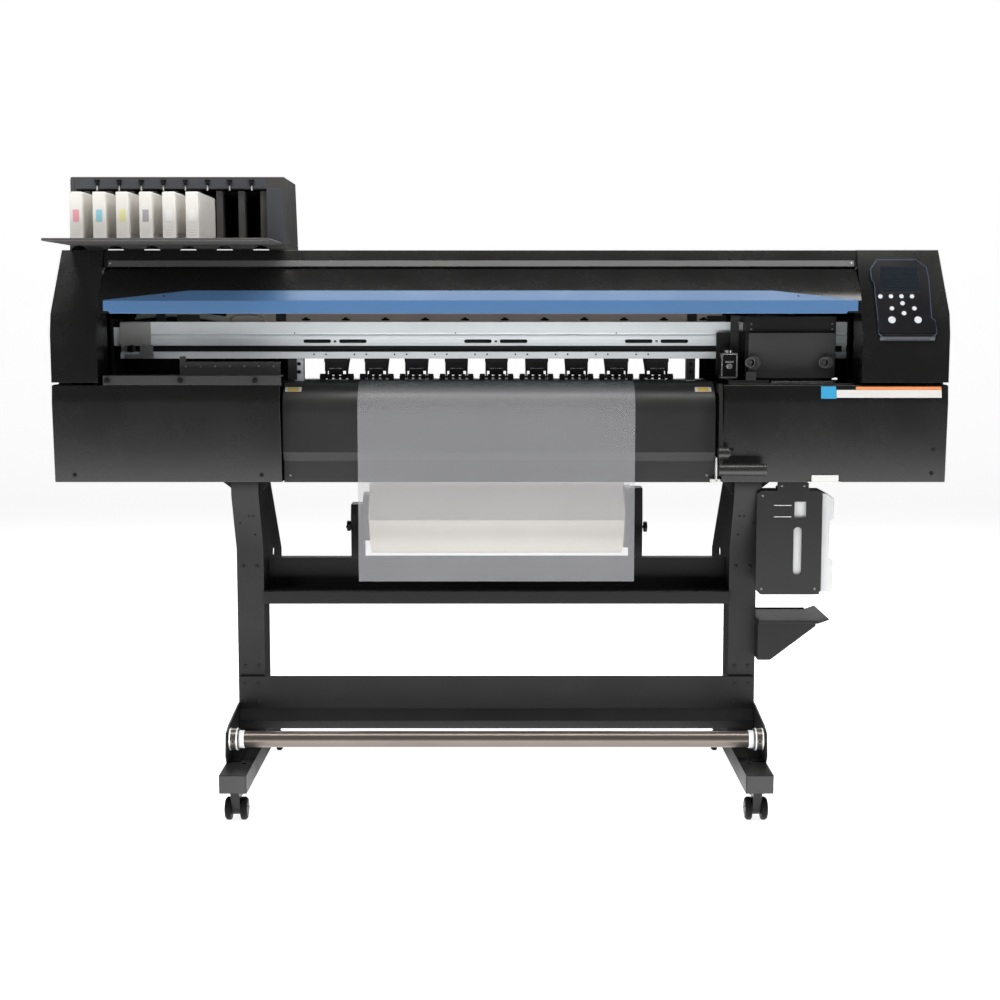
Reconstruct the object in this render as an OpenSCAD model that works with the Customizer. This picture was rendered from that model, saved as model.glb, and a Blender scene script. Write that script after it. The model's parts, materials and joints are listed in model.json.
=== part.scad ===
// Roll-fed printer and cutter on a wheeled stand.
// Millimetres, +Z up, front towards -Y, origin on the floor under the middle of the machine.

/* [Body] */
// Width over both end towers
body_w = 1965; // [1950:1:1980]
// Height of the top of the body
body_top = 1232; // [1230:1:1234]
// Height of the crease where the tower fronts start to lean back
crease_z = 1047; // [1045:1:1050]
// Height of the underside of the body
body_bottom = 723; // [721:1:725]
// Thickness of the sheet covers
sheet_t = 3; // [2:0.5:3.5]
// Depth position of the body's rear wall
body_rear = 150; // [149:0.5:151]
// Inner wall of the left tower
left_wall_x = -876; // [-878:1:-875]
// Inner wall of the right tower
right_wall_x = 788; // [786:1:789]

/* [Stand] */
// Sideways position of the middle of the stand and of the film
stand_x = -8; // [-9:0.5:-7]
// Distance of each leg from the middle of the stand
leg_offset = 561; // [560:0.5:562]
// Width of a leg
leg_w = 61; // [58:1:62]
// Distance of each foot from the middle of the stand
foot_offset = 563; // [562:0.5:564]
// Width of a foot
foot_w = 59; // [56:1:60]
// Length of a foot, front to back
foot_len = 700; // [690:1:700]
// Height of the top of a foot
foot_top = 112; // [111:0.5:113]
// Height of the underside of a foot
foot_bottom = 72; // [71.5:0.5:73]

/* [Casters] */
// Radius of a caster wheel
wheel_r = 25; // [24:0.5:26]
// Width of a caster wheel
wheel_w = 14; // [12:0.5:15]
// Swivel axis, measured from the middle of the foot
caster_y = 315; // [310:1:318]
// Trail of the wheel behind its swivel axis
caster_trail = 18; // [16:1:20]

/* [Take-up bar] */
// Height of the bar's axis
bar_z = 161; // [160:0.5:162]
// Depth position of the bar's axis
bar_y = -230; // [-232:1:-228]
// Radius of the bar
bar_r = 18; // [16:0.5:19]
// Radius of the hubs at its ends
hub_r = 24; // [22:0.5:25]

/* [Feeding] */
// Height of the platen's surface
platen_z = 942; // [941.5:0.25:942.5]
// Radius of the feed roller
feed_r = 12; // [11:0.25:12.25]
// Radius of a pinch roller
pinch_r = 7; // [6.5:0.25:7.25]
// Number of pinch units
pinch_count = 9; // [7:2:9]
// Spacing of the pinch units
pinch_pitch = 90.5; // [88:0.5:91]
// Bearing clearance, on the radius
fit = 0.05; // [0.03:0.01:0.08]

/* [Film and roll] */
// Width of the film
film_w = 610; // [560:10:610]
// Thickness of the film's solid
film_t = 0.4; // [0.3:0.1:0.5]
// Height of the hanging edge of the film
film_end_z = 502; // [490:1:600]
// Radius of the roll of film
roll_r = 90; // [70:1:92]
// Radius of the roll's core
core_r = 38; // [36:0.5:39]
// Height of the roll's axis
roll_z = 600; // [598:1:602]

/* [Carriage] */
// Left edge of the carriage when parked
carriage_x = 545; // [543:1:547]
// Width of the carriage
carriage_w = 200; // [190:1:202]

/* [Ink unit] */
// Number of slots in the holder
slot_count = 8; // [8:1:8]
// Spacing of the slots
slot_pitch = 48.7; // [48:0.1:49]
// Width of a cartridge
cartridge_w = 27; // [24:0.5:29]
// Height of a cartridge
cartridge_h = 97; // [90:1:98]
// Length of a cartridge
cartridge_len = 300; // [260:1:310]
// Height of the top of the ink unit
ink_top = 1392; // [1390:1:1394]

/* [Control panel] */
// Thickness of the panel
panel_t = 4; // [3.5:0.25:4.5]
// Travel of a key
key_travel = 1; // [0.6:0.1:1]

/* [Hidden] */
$fn = 48;
body_half = body_w / 2;
front_y = -190;
tower_top_y = -100;
tower_slope = atan2(tower_top_y - front_y, body_top - crease_z);
tower_bottom = 943;
cover_top = 937;
media_gap_z = 1000;
leg_in = leg_offset - leg_w / 2;
foot_out = foot_offset + foot_w / 2;
leg_top = body_bottom;
beam_y0 = -120;
beam_y1 = 140;
apron_y = -165;
apron_r = 70;
guide_r = 60;
guide_y = body_rear - guide_r;
media_left = stand_x - 470;
media_right = stand_x + 480;
film_gap = 0.5;
roll_y = body_rear + film_gap + film_t + roll_r;
nip_y = -30;
feed_z = platen_z + 0.2 - feed_r;
pinch_z = platen_z + film_gap + film_t + 0.3 + pinch_r;
pinch_rod = [30, 997];
rail_y = -60;
rail_x0 = -853;
rail_x1 = 779;
hinge = [-113.5, 1192.5];
lever_axis = [-60, 918];
lever_x = 478;
cartridge_z = 1248.5;
slot_x = -888.5;
bottle_x = 594;
NOTCH_COUNT = 6;
POST_X = [left_wall_x + 2, rail_x1];
media_x1 = lever_x - 4;
KEYS = [[831, 90, 5], [854, 90, 5], [877, 90, 5], [900, 90, 5], [878, 73.5, 5],
        [854, 61, 5], [903, 61, 5], [879.5, 49.5, 5], [852, 33.5, 8], [908.5, 33.5, 8]];
black = [0.09, 0.09, 0.1];
dark = [0.2, 0.2, 0.21];
silver = [0.75, 0.78, 0.8];
steel = [0.7, 0.7, 0.72];
blue = [0.28, 0.46, 0.68];

// A box between two corners
module box(lo, hi) {
    translate(lo) cube(hi - lo);
}

// An outline in Y and Z, drawn out from x0 to x1
module along_x(x0, x1) {
    translate([x0, 0, 0]) rotate([90, 0, 90]) linear_extrude(x1 - x0) children();
}

// An outline in X and Z, drawn out from y0 to y1
module along_y(y0, y1) {
    translate([0, y1, 0]) rotate([90, 0, 0]) linear_extrude(y1 - y0) children();
}

// A round bar along X
module rod_x(x0, x1, at, r) {
    translate([x0, at[0], at[1]]) rotate([0, 90, 0]) cylinder(h = x1 - x0, r = r);
}

// A round bar along Y
module rod_y(y0, y1, at, r) {
    translate([at[0], y1, at[1]]) rotate([90, 0, 0]) cylinder(h = y1 - y0, r = r);
}

// One quarter of a flat ring; turn 0 is the quarter towards +X +Y of the outline
module ring_quarter(centre, r_in, r_out, turn) {
    translate(centre) rotate(turn) intersection() {
        difference() {
            circle(r_out, $fn = 96);
            circle(r_in, $fn = 96);
        }
        square(r_out);
    }
}

// A shape moved by its mirror image for the right side of the stand
module on_side(side) {
    translate([stand_x, 0, 0]) mirror([side > 0 ? 0 : 1, 0, 0]) children();
}

// Places a shape on the sloping front of the right tower: X, distance up the slope, outwards
module on_slope(x, v, w) {
    translate([x, front_y, crease_z]) rotate([90 - tower_slope, 0, 0])
        translate([0, v, w]) children();
}

// ---- stand ----

// Leg drawn for the right side: a box column, a leaning front flange and a gusset plate
module leg(side) {
    color(dark) on_side(side) {
        difference() {
            box([leg_in, -60, foot_top], [leg_in + leg_w, 30, 560]);
            box([leg_in + 3, -57, foot_top + 4], [leg_in + leg_w - 3, 27, 556]);
        }
        along_x(leg_in, leg_in + leg_w)
            polygon([[-60, 560], [-125, 690], [-125, leg_top - 4], [-121, leg_top - 4],
                     [-121, 691], [-56.5, 560]]);
        difference() {
            along_x(leg_in, leg_in + 3)
                polygon([[-60, 560], [-125, 690], [-125, leg_top], [54, leg_top], [262, 520],
                         [262, 465], [30, 430], [30, 560]]);
            rod_x(leg_in - 1, leg_in + 4, [120, 560], 5);
            rod_x(leg_in - 1, leg_in + 4, [20, 675], 5);
            hull() {
                rod_x(leg_in - 1, leg_in + 4, [112, 530], 9);
                rod_x(leg_in - 1, leg_in + 4, [132, 530], 9);
            }
        }
        box([leg_in, -125, leg_top - 4], [leg_in + leg_w, 54, leg_top]);
    }
}

module leg_left() {
    leg(-1);
}

module leg_right() {
    leg(1);
}

// Two rectangular tubes with solid ends, bored for the caster stems
module feet() {
    for (side = [-1, 1])
        color(dark) on_side(side) difference() {
            box([foot_offset - foot_w / 2, -foot_len / 2, foot_bottom],
                [foot_out, foot_len / 2, foot_top]);
            box([foot_offset - foot_w / 2 + 3, -270, foot_bottom + 3],
                [foot_out - 3, 270, foot_top - 3]);
            translate([foot_offset - 10, -252, foot_top - 4]) cylinder(h = 5, r = 6);
            for (end = [-1, 1])
                translate([foot_offset, end * caster_y, foot_bottom - 1])
                    cylinder(h = 26, r = 6 + fit);
        }
}

module upper_crossbeam() {
    color(dark) difference() {
        along_x(stand_x - leg_in, stand_x + leg_in)
            polygon([[-70, 435], [-70, 464], [14, 464], [14, 530], [17, 530], [17, 435]]);
        along_x(stand_x - leg_in + 3, stand_x + leg_in - 3)
            polygon([[-67, 438], [-67, 461], [14, 461], [14, 438]]);
    }
}

module lower_crossbeam() {
    face = [[-60, 267], [-70, 267], [-70, 192], [-85, 168], [-85, 149], [-60, 149]];
    color(dark) difference() {
        along_x(stand_x - foot_out + 4, stand_x + foot_out - 4) polygon(face);
        along_x(stand_x - foot_out + 7, stand_x + foot_out - 7)
            offset(delta = -2.5) polygon(face);
    }
}

// Side plates that stand on the feet and carry the take-up bar
module bar_brackets() {
    for (side = [-1, 1])
        color(black) on_side(side) {
            difference() {
                along_x(foot_out - 4, foot_out)
                    polygon([[-61, foot_top], [-61, 205], [-78, 205], [-215, 190], [-252, 180],
                             [-262, 130], [-250, foot_top]]);
                rod_x(foot_out - 5, foot_out + 1, [bar_y, bar_z], 8 + fit);
            }
            box([foot_out - 30, -240, foot_top], [foot_out - 4, -90, foot_top + 3]);
        }
}

module take_up_bar() {
    hub_in = foot_out - 4.5;
    color(steel) translate([stand_x, 0, 0]) {
        difference() {
            rod_x(-hub_in + 23, hub_in - 23, [bar_y, bar_z], bar_r);
            rod_x(-hub_in + 27, hub_in - 27, [bar_y, bar_z], bar_r - 2);
        }
        for (side = [-1, 1]) mirror([side > 0 ? 0 : 1, 0, 0]) {
            rod_x(hub_in - 23, hub_in, [bar_y, bar_z], hub_r);
            rod_x(hub_in, foot_out + 2, [bar_y, bar_z], 8);
        }
    }
}

// ---- casters: 1 and 2 on the left foot, 3 and 4 on the right foot, odd ones in front ----

function caster_x(i) = stand_x + (i < 3 ? -1 : 1) * foot_offset;
function caster_side(i) = i % 2 == 1 ? -1 : 1;

module at_caster(i) {
    translate([caster_x(i), caster_side(i) * caster_y, 0])
        mirror([0, caster_side(i) > 0 ? 0 : 1, 0]) children();
}

module caster_fork(i) {
    color(black) at_caster(i) {
        translate([0, 0, foot_bottom - 0.3]) cylinder(h = 20, r = 6);
        translate([0, 0, foot_bottom - 5]) cylinder(h = 4.7, r = 22);
        along_x(-9.5, 9.5) {
            polygon([[-caster_trail - 13, wheel_r], [-caster_trail - 13, 50], [-14, foot_bottom - 5],
                     [14, foot_bottom - 5], [-caster_trail + 12, wheel_r]]);
            translate([-caster_trail, wheel_r]) circle(13);
        }
        rod_x(-9.5 - wheel_w - 1.5, 9.5 + wheel_w + 1.5, [-caster_trail, wheel_r], 4);
    }
}

module caster_wheels(i) {
    color(black) at_caster(i)
        for (side = [-1, 1]) mirror([side > 0 ? 0 : 1, 0, 0])
            translate([10, -caster_trail, wheel_r]) rotate([0, 90, 0]) difference() {
                rotate_extrude() polygon([[0, 0], [wheel_r - 2, 0], [wheel_r, 2],
                                          [wheel_r, wheel_w - 4], [wheel_r - 4, wheel_w],
                                          [10, wheel_w], [9, wheel_w - 1], [0, wheel_w - 1]]);
                translate([0, 0, -1]) cylinder(h = wheel_w + 2, r = 4 + fit);
            }
}

// ---- body ----

// Box beam under the platen, with the posts that carry the rail and the lever's bearing
module base_frame() {
    color(dark) {
        difference() {
            box([-960, beam_y0, body_bottom + sheet_t], [960, beam_y1, 900]);
            box([-961, beam_y0 + 2.5, body_bottom + sheet_t + 2.5], [961, beam_y1 - 2.5, 897.5]);
        }
        for (x = POST_X)
            box([x, rail_y, 900], [x + 6, 40, 1080]);
        difference() {
            box([490, -80, 900], [496, -40, 933]);
            rod_x(489, 497, lever_axis, 8 + fit);
        }
    }
}

function cover_outline() = [[front_y + 8, cover_top], [front_y, 898], [front_y + 25, body_bottom],
                            [body_rear, body_bottom], [body_rear, cover_top]];

// Plan of the body with its front corners taken back, so that it tapers towards the front
module plan(x0, x1) {
    linear_extrude(1500)
        polygon([[x0, body_rear + 1], [x0, -150], [max(x0, -body_half + 6), front_y - 1],
                 [min(x1, body_half - 6), front_y - 1], [x1, -150], [x1, body_rear + 1]]);
}

// A lower side cover: a shell with an end wall, open towards the middle of the machine
module lower_cover(x0, x1, open_x0, open_x1) {
    color(black) difference() {
        intersection() {
            along_x(x0, x1) polygon(cover_outline());
            plan(x0, x1);
        }
        along_x(open_x0, open_x1) offset(delta = -sheet_t) polygon(cover_outline());
        for (x = POST_X)
            box([x - 1, rail_y - 1, 930], [x + 7, 41, 940]);
    }
}

module lower_cover_left() {
    lower_cover(-body_half, media_left - 2, -body_half + 7, media_left);
}

module lower_cover_right() {
    lower_cover(488, body_half, 486, body_half - 7);
}

function tower_outline(grow = 0) =
    [[front_y + 4 + grow, tower_bottom + grow], [front_y + grow, crease_z],
     [tower_top_y + grow, body_top - grow], [125, body_top - grow],
     [body_rear - grow, 1205], [body_rear - grow, tower_bottom + grow]];

// The end walls of the towers lean in towards the top
module lean(inset) {
    half = body_half - inset;
    along_y(-400, 400)
        polygon([[-half, 900], [-half, 1060], [-half + 14.5, 1235], [half - 14.5, 1235],
                 [half, 1060], [half, 900]]);
}

// A hollow tower; its inner wall stands only along the front, the rest is open to the inside
module tower(x0, x1, in0, in1) {
    difference() {
        intersection() {
            along_x(x0, x1) polygon(tower_outline());
            plan(x0, x1);
            lean(0);
        }
        intersection() {
            along_x(in0, in1) polygon(tower_outline(sheet_t));
            lean(7);
        }
    }
}

module tower_left() {
    color(black) {
        difference() {
            tower(-body_half, left_wall_x, -body_half + 7, left_wall_x - sheet_t);
            box([left_wall_x - 4, -85, 960], [left_wall_x + 1, 140, 1195]);
            rod_x(left_wall_x - 4, left_wall_x + 1, hinge, 3 + fit);
        }
        for (y = [-160, 60]) {
            box([-968, y, cover_top], [-938, y + 50, tower_bottom]);
            box([-890, y, cover_top], [-880, y + 50, tower_bottom]);
        }
    }
}

module tower_right() {
    color(black) {
        difference() {
            tower(right_wall_x, body_half, right_wall_x + sheet_t, body_half - 7);
            box([right_wall_x - 1, -85, 960], [right_wall_x + 4, 140, 1195]);
            rod_x(right_wall_x - 1, right_wall_x + 4, hinge, 3 + fit);
            box([830, front_y - 2, 1005], [955, front_y + 1.2, 1012]);
        }
        for (y = [-160, 60]) {
            box([890, y, cover_top], [922, y + 50, tower_bottom]);
            box([962, y, cover_top], [972, y + 50, tower_bottom]);
        }
    }
}

// Bent sheet over the middle of the body: front lip, top and rear wall above the film's way
module top_cover() {
    color(black) {
        along_x(left_wall_x, right_wall_x)
            polygon([[-111, 1194.5], [-95, body_top], [125, body_top], [body_rear, 1205],
                     [body_rear, media_gap_z], [body_rear - 3, media_gap_z],
                     [body_rear - 3, 1204], [123.7, body_top - 3], [-93, body_top - 3],
                     [-108, 1194.5]]);
        box([left_wall_x, body_rear - 3, cover_top], [media_left - 6, body_rear, media_gap_z]);
        box([media_right, body_rear - 3, cover_top], [right_wall_x, body_rear, media_gap_z]);
    }
}

// Hinged cover over the carriage, with a stub pin at each end
module front_cover() {
    x0 = left_wall_x + 4;
    x1 = right_wall_x - 4;
    color(black) {
        along_x(x0, x1)
            polygon([[-112, 1190], [-172, 1142], [-186, 1120], [-186, 1094], [-183, 1094],
                     [-183, 1119], [-169.5, 1140], [-109, 1188.5]]);
        for (x = [x0, x1 - 3])
            along_x(x, x + 3)
                polygon([[-112, 1190], [-172, 1142], [-186, 1120], [-186, 1112], [-165, 1125],
                         [-106, 1180]]);
        for (x = [x0, x1 - 3]) difference() {
            rod_x(x, x + 3, hinge, 6);
            box([x - 1, hinge[0] - 7, hinge[1] + 1.5], [x + 4, hinge[0] + 7, hinge[1] + 7]);
        }
        rod_x(x0 - 6, x0 + 1, hinge, 3);
        rod_x(x1 - 1, x1 + 6, hinge, 3);
    }
}

// Coloured band along the lower edge of the front cover, lower at its ends
module front_trim() {
    x0 = left_wall_x + 16.5;
    x1 = right_wall_x - 12.5;
    color(blue) intersection() {
        along_x(x0, x1)
            polygon([[-178, 1142.5], [-192, 1120], [-192, 1092.5], [-186, 1092.5],
                     [-186, 1120], [-172, 1142]]);
        along_y(-200, -160)
            polygon([[x0, 1098], [x0, 1122], [-662, 1144], [578, 1144], [x1, 1122], [x1, 1098],
                     [x1 - 22, 1098], [x1 - 26, 1090], [x0 + 16, 1090], [x0 + 12, 1098]]);
    }
}

// Plate of the film's way, with the vacuum chamber, the roller's slot and the rear guide
module platen() {
    x0 = media_left;
    x1 = media_x1;
    color(dark) difference() {
        along_x(x0, x1) {
            difference() {
                translate([apron_y + apron_r, 900]) square([155, platen_z - 900]);
                translate([-88, 905]) square([38, 31]);
            }
            translate([59, platen_z - 4]) square([guide_y - 59, 4]);
            ring_quarter([guide_y, platen_z - guide_r], guide_r - 4, guide_r, 0);
            translate([body_rear - 4, 845]) square([4, platen_z - guide_r - 845]);
        }
        box([x0 + 8, nip_y - feed_r - 1.5, feed_z - feed_r - 2],
            [x1 - 8, nip_y + feed_r + 1.5, platen_z + 1]);
        rod_x(x0 - 1, x1 + 1, [nip_y, feed_z], 6 + fit);
    }
}

// Curved guide in front of the platen, stepping back to a lower panel
module front_apron() {
    color(dark) along_x(media_left, media_x1) {
        ring_quarter([apron_y + apron_r, platen_z - apron_r], apron_r - 3, apron_r, 90);
        polygon([[apron_y, platen_z - apron_r], [apron_y, 788], [apron_y + 14, 770],
                 [apron_y + 18, 721], [beam_y0, 721], [beam_y0, 724], [apron_y + 21, 724],
                 [apron_y + 17, 771], [apron_y + 3, 789], [apron_y + 3, platen_z - apron_r]]);
    }
}

module feed_roller() {
    color(steel) {
        rod_x(media_left + 9, media_x1 - 9, [nip_y, feed_z], feed_r);
        rod_x(media_left, media_x1, [nip_y, feed_z], 6);
    }
}

function pinch_x(i) = stand_x + (i - (pinch_count - 1) / 2) * pinch_pitch;

// Spring-loaded arms that hang on the rod under the rail
module pinch_arms() {
    for (i = [0 : pinch_count - 1])
        color(black) translate([pinch_x(i), 0, 0]) difference() {
            union() {
                box([-25, -52, 964], [25, -40, 993]);
                for (side = [-1, 1]) mirror([side > 0 ? 0 : 1, 0, 0])
                    along_x(21.5, 25)
                        polygon([[-52, 993], [20, 1005.5], [38, 1005.5], [40, 990], [0, 972],
                                 [nip_y + 5, 952], [nip_y + 3, 946.5], [nip_y - 3, 946.5],
                                 [nip_y - 6, 952], [-44, 964]]);
                box([-25, 20, 1003.5], [25, 38, 1005.5]);
            }
            rod_x(-26, 26, pinch_rod, 6 + fit);
            rod_x(-26, 26, [nip_y, pinch_z], 2.5 + fit);
        }
}

module pinch_rollers() {
    for (i = [0 : pinch_count - 1])
        color(black) translate([pinch_x(i), 0, 0]) {
            rod_x(-39, 39, [nip_y, pinch_z], 2.5);
            for (x = [-38, 26]) rod_x(x, x + 12, [nip_y, pinch_z], pinch_r);
            for (x = [-20.5, -5, 10.5]) rod_x(x, x + 10, [nip_y, pinch_z], pinch_r - 0.8);
        }
}

// Aluminium beam with a guide groove, a front lip, end blocks and the rod of the pinch arms
module y_rail() {
    color(silver) {
        difference() {
            along_x(rail_x0, rail_x1) {
                polygon([[rail_y, 1074], [rail_y, 1049], [rail_y + 2, 1047], [rail_y, 1045],
                         [rail_y, 1021], [rail_y + 8, 1021], [rail_y + 8, 1007], [20, 1007],
                         [20, 1074]]);
                translate([rail_y, 992]) square([3, 15]);
                translate([rail_y, 1005]) square([16, 2]);
            }
            along_x(rail_x0 - 1, rail_x1 + 1)
                translate([rail_y + 14, 1015]) square([60, 50]);
        }
        box([left_wall_x + 8, rail_y + 4, 1020], [rail_x0, rail_y + 10, 1062]);
        for (x = [-463, 420]) {
            box([x, -50, platen_z], [x + 20, -47, 1007]);
            box([x + 8, -48, 960], [x + 12, 45, 1007]);
            box([x + 8, -12, platen_z], [x + 12, 45, 961]);
        }
        rod_x(-451, 428, pinch_rod, 6);
    }
}

module clamp_lever() {
    color(black) {
        rod_x(lever_x, 500, lever_axis, 8);
        along_x(lever_x, lever_x + 7)
            polygon([[-52, 908], [-52, 928], [-70, 934], [-176, 940], [-192, 928], [-200, 800],
                     [-212, 760], [-200, 750], [-186, 790], [-182, 908], [-168, 922]]);
        rod_x(lever_x - 2, lever_x + 20, [-200, 790], 13);
        rod_x(lever_x - 2, lever_x + 102, [-206, 754], 13);
    }
}

// ---- carriage ----

module carriage() {
    x1 = carriage_x + carriage_w;
    color(black) difference() {
        union() {
            box([carriage_x, -106, 952], [x1, rail_y - 2, 1080]);
            box([carriage_x, -106, 1076], [x1, 26, 1086]);
            box([carriage_x + 30, -100, 945], [x1 - 30, -68, 952]);
            along_x(carriage_x + 5, x1 - 5)
                translate([rail_y - 3, 1007 + fit]) square([10, 14 - 2 * fit]);
            box([carriage_x - 60, -68, 955], [carriage_x, rail_y - 2, 1050]);
            box([carriage_x - 48, -88, 1010], [carriage_x - 24, -68, 1016]);
            translate([carriage_x - 36, -80, 957]) cylinder(h = 54, r = 3);
        }
        box([carriage_x + 8, -98, 1005], [x1 - 8, rail_y - 10, 1072]);
    }
}

// Grey front panel of the carriage with two thumb rings
module carriage_cover() {
    x1 = carriage_x + carriage_w;
    color(dark) difference() {
        union() {
            box([carriage_x + 6, -116, 950], [x1 - 3, -106, 1050]);
            rod_y(-128, -116, [560, 984.5], 16);
            rod_y(-128, -116, [723, 985.5], 14);
        }
        for (x = [560, 723]) rod_y(-129, -112, [x, 985], 7);
    }
}

module cutter_head() {
    x = carriage_x - 36;
    color(silver) difference() {
        union() {
            box([x - 18, -112, 949], [x + 18, -69, 1006]);
            rod_z = [x, -98];
            translate([rod_z[0], rod_z[1], 946]) cylinder(h = 66, r = 8);
        }
        translate([x, -80, 940]) cylinder(h = 80, r = 3 + fit);
    }
}

// ---- film ----

module film() {
    x0 = stand_x - film_w / 2;
    inner = film_gap;
    outer = film_gap + film_t;
    color([0.8, 0.82, 0.88]) along_x(x0, x0 + film_w) {
        translate([apron_y - outer, film_end_z])
            square([film_t, platen_z - apron_r - film_end_z]);
        ring_quarter([apron_y + apron_r, platen_z - apron_r], apron_r + inner, apron_r + outer, 90);
        translate([apron_y + apron_r, platen_z + inner])
            square([guide_y - apron_y - apron_r, film_t]);
        ring_quarter([guide_y, platen_z - guide_r], guide_r + inner, guide_r + outer, 0);
        translate([body_rear + inner, roll_z]) square([film_t, platen_z - guide_r - roll_z]);
    }
}

module media_roll() {
    x0 = stand_x - film_w / 2;
    color([0.85, 0.85, 0.88]) difference() {
        union() {
            rod_x(x0, x0 + film_w, [roll_y, roll_z], roll_r - 0.3, $fn = 96);
            rod_x(x0 - 5, x0 + film_w + 5, [roll_y, roll_z], core_r + 3);
        }
        rod_x(x0 - 6, x0 + film_w + 6, [roll_y, roll_z], core_r);
    }
}

// Holder that plugs into the roll's core and stands on the rear rail; drawn for the right side
module roll_holder(flange_r, top) {
    edge = film_w / 2 + 5.3;
    rod_x(edge - 25, edge + 14, [roll_y, roll_z], core_r - fit);
    rod_x(edge, edge + 14, [roll_y, roll_z], flange_r);
    along_x(edge + 14, edge + 44)
        polygon([[roll_y - 30, 500], [roll_y - 30, 560], [roll_y - 36, 600], [roll_y - 28, top],
                 [roll_y + 28, top], [roll_y + 36, 600], [roll_y + 30, 560], [roll_y + 30, 500]]);
    rod_x(edge + 44, edge + 58, [roll_y - 10, 575], 3);
}

module roll_holder_left() {
    color(black) translate([stand_x, 0, 0]) mirror([1, 0, 0]) roll_holder(60, 632);
}

module roll_holder_right() {
    color(black) translate([stand_x, 0, 0]) roll_holder(77, 672);
}

// Rear tube that the roll holders slide along
module roll_rail() {
    color(dark) difference() {
        box([stand_x - leg_in, roll_y - 22, 470], [stand_x + leg_in, roll_y + 18, 500]);
        box([stand_x - leg_in + 3, roll_y - 19, 473], [stand_x + leg_in - 3, roll_y + 15, 497]);
    }
}

// ---- ink unit ----

// Holder for the cartridges: an open-fronted case that widens a little towards its base
module ink_holder() {
    color(dark) difference() {
        along_y(-90, 125) polygon([[-947, ink_top], [-477, ink_top], [-472, body_top],
                                   [-953, body_top]]);
        box([-935, -91, cartridge_z], [-516, 121, 1366]);
        box([-945, -86, body_top - 1], [-480, 126, 1242]);
        for (i = [0 : NOTCH_COUNT - 1])
            rod_y(-91, -85, [-932 + i * 80.5, body_top - 12], 22);
    }
}

module ink_tray() {
    color(dark) difference() {
        box([-950, -340, 1242], [-480, -90, 1248]);
        translate([-480, -340, 1241]) rotate(45) translate([-12, -12, 0]) cube([24, 24, 8]);
    }
}

module cartridge(i) {
    x = slot_x + (i - 1) * slot_pitch;
    color([0.93, 0.91, 0.88]) along_y(-290, -290 + cartridge_len)
        translate([x - cartridge_w / 2, cartridge_z + 0.3]) offset(r = 2)
            translate([2, 2]) square([cartridge_w - 4, cartridge_h - 4]);
}

// ---- control panel ----

module control_panel() {
    color(black) difference() {
        on_slope(0, 0, 0) linear_extrude(panel_t)
            polygon([[829, 182], [917, 182], [940, 161], [943, 128], [941, 38], [948, 33],
                     [950, 6], [940, 2], [829, 2], [819, 8], [819.5, 34], [817.5, 122],
                     [812, 132], [812, 157]]);
        on_slope(835, 102, panel_t - 1) cube([83, 61, 2]);
        for (k = KEYS)
            on_slope(k[0], k[1], 0.6) cylinder(h = panel_t, r = k[2] + 0.15);
    }
}

module key(i) {
    k = KEYS[i - 1];
    color([0.85, 0.86, 0.88]) on_slope(k[0], k[1], 0.6 + key_travel + 0.2)
        cylinder(h = panel_t - 0.6, r = k[2]);
}

// ---- waste bottle and side shelf ----

module waste_bracket() {
    x = bottle_x - 3;
    color(dark) {
        difference() {
            along_y(-133, -130)
                polygon([[572, 478], [572, 694], [582, 701], [617, 701], [617, body_bottom],
                         [687, body_bottom], [687, 701], [710, 701], [718, 692], [718, 476],
                         [708, 467], [583, 467]]);
            along_y(-134, -129) {
                translate([656, 640]) square([26, 36]);
                translate([655, 520]) square([18, 90]);
                translate([664, 520]) circle(9);
                translate([664, 610]) circle(9);
            }
        }
        box([x, -130, 467], [716, -4, 470]);
        box([x, -7, 467], [716, -4, 600]);
        box([x, -130, 467], [x + 2, -4, 690]);
    }
}

module waste_bottle() {
    color([0.9, 0.9, 0.9]) {
        along_y(-127, -10) offset(r = 8)
            polygon([[bottle_x + 9, 479], [737, 479], [737, 538], [728, 546], [728, 632],
                     [737, 640], [737, 678], [725, 687], [bottle_x + 9, 687]]);
        translate([bottle_x + 55, -68, 694]) cylinder(h = 12, r = 22);
    }
}

// Small tray on the right leg, with raised edges and a triangular support
module side_shelf() {
    x = stand_x + leg_in + leg_w;
    color(black) {
        box([x, -100, 312], [x + 3, 60, 405]);
        along_y(-120, 60) polygon([[x, 398], [716, 398], [741, 407], [740, 410], [715, 401],
                                   [x, 401]]);
        box([x, -120, 398], [716, -117, 405]);
        box([x, 57, 398], [716, 60, 405]);
        along_y(-103, -100) polygon([[x, 398], [714, 398], [714, 390], [612, 312], [x, 312]]);
    }
}

leg_left();
leg_right();
feet();
upper_crossbeam();
lower_crossbeam();
bar_brackets();
base_frame();
platen();
front_apron();
lower_cover_left();
lower_cover_right();
tower_left();
tower_right();
top_cover();
y_rail();
ink_holder();
ink_tray();
control_panel();
roll_holder_left();
roll_holder_right();
roll_rail();
film();
waste_bracket();
waste_bottle();
side_shelf();
front_cover();
front_trim();
carriage();
carriage_cover();
cutter_head();
feed_roller();
pinch_arms();
pinch_rollers();
clamp_lever();
take_up_bar();
media_roll();
cartridge(1);  // cartridge_1
cartridge(2);  // cartridge_2
cartridge(3);  // cartridge_3
cartridge(4);  // cartridge_4
cartridge(5);  // cartridge_5
cartridge(6);  // cartridge_6
key(1);  // key_1
key(2);  // key_2
key(3);  // key_3
key(4);  // key_4
key(5);  // key_5
key(6);  // key_6
key(7);  // key_7
key(8);  // key_8
key(9);  // key_9
key(10);  // key_10
caster_fork(1);  // caster_fork_1
caster_fork(2);  // caster_fork_2
caster_fork(3);  // caster_fork_3
caster_fork(4);  // caster_fork_4
caster_wheels(1);  // caster_wheels_1
caster_wheels(2);  // caster_wheels_2
caster_wheels(3);  // caster_wheels_3
caster_wheels(4);  // caster_wheels_4
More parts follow.
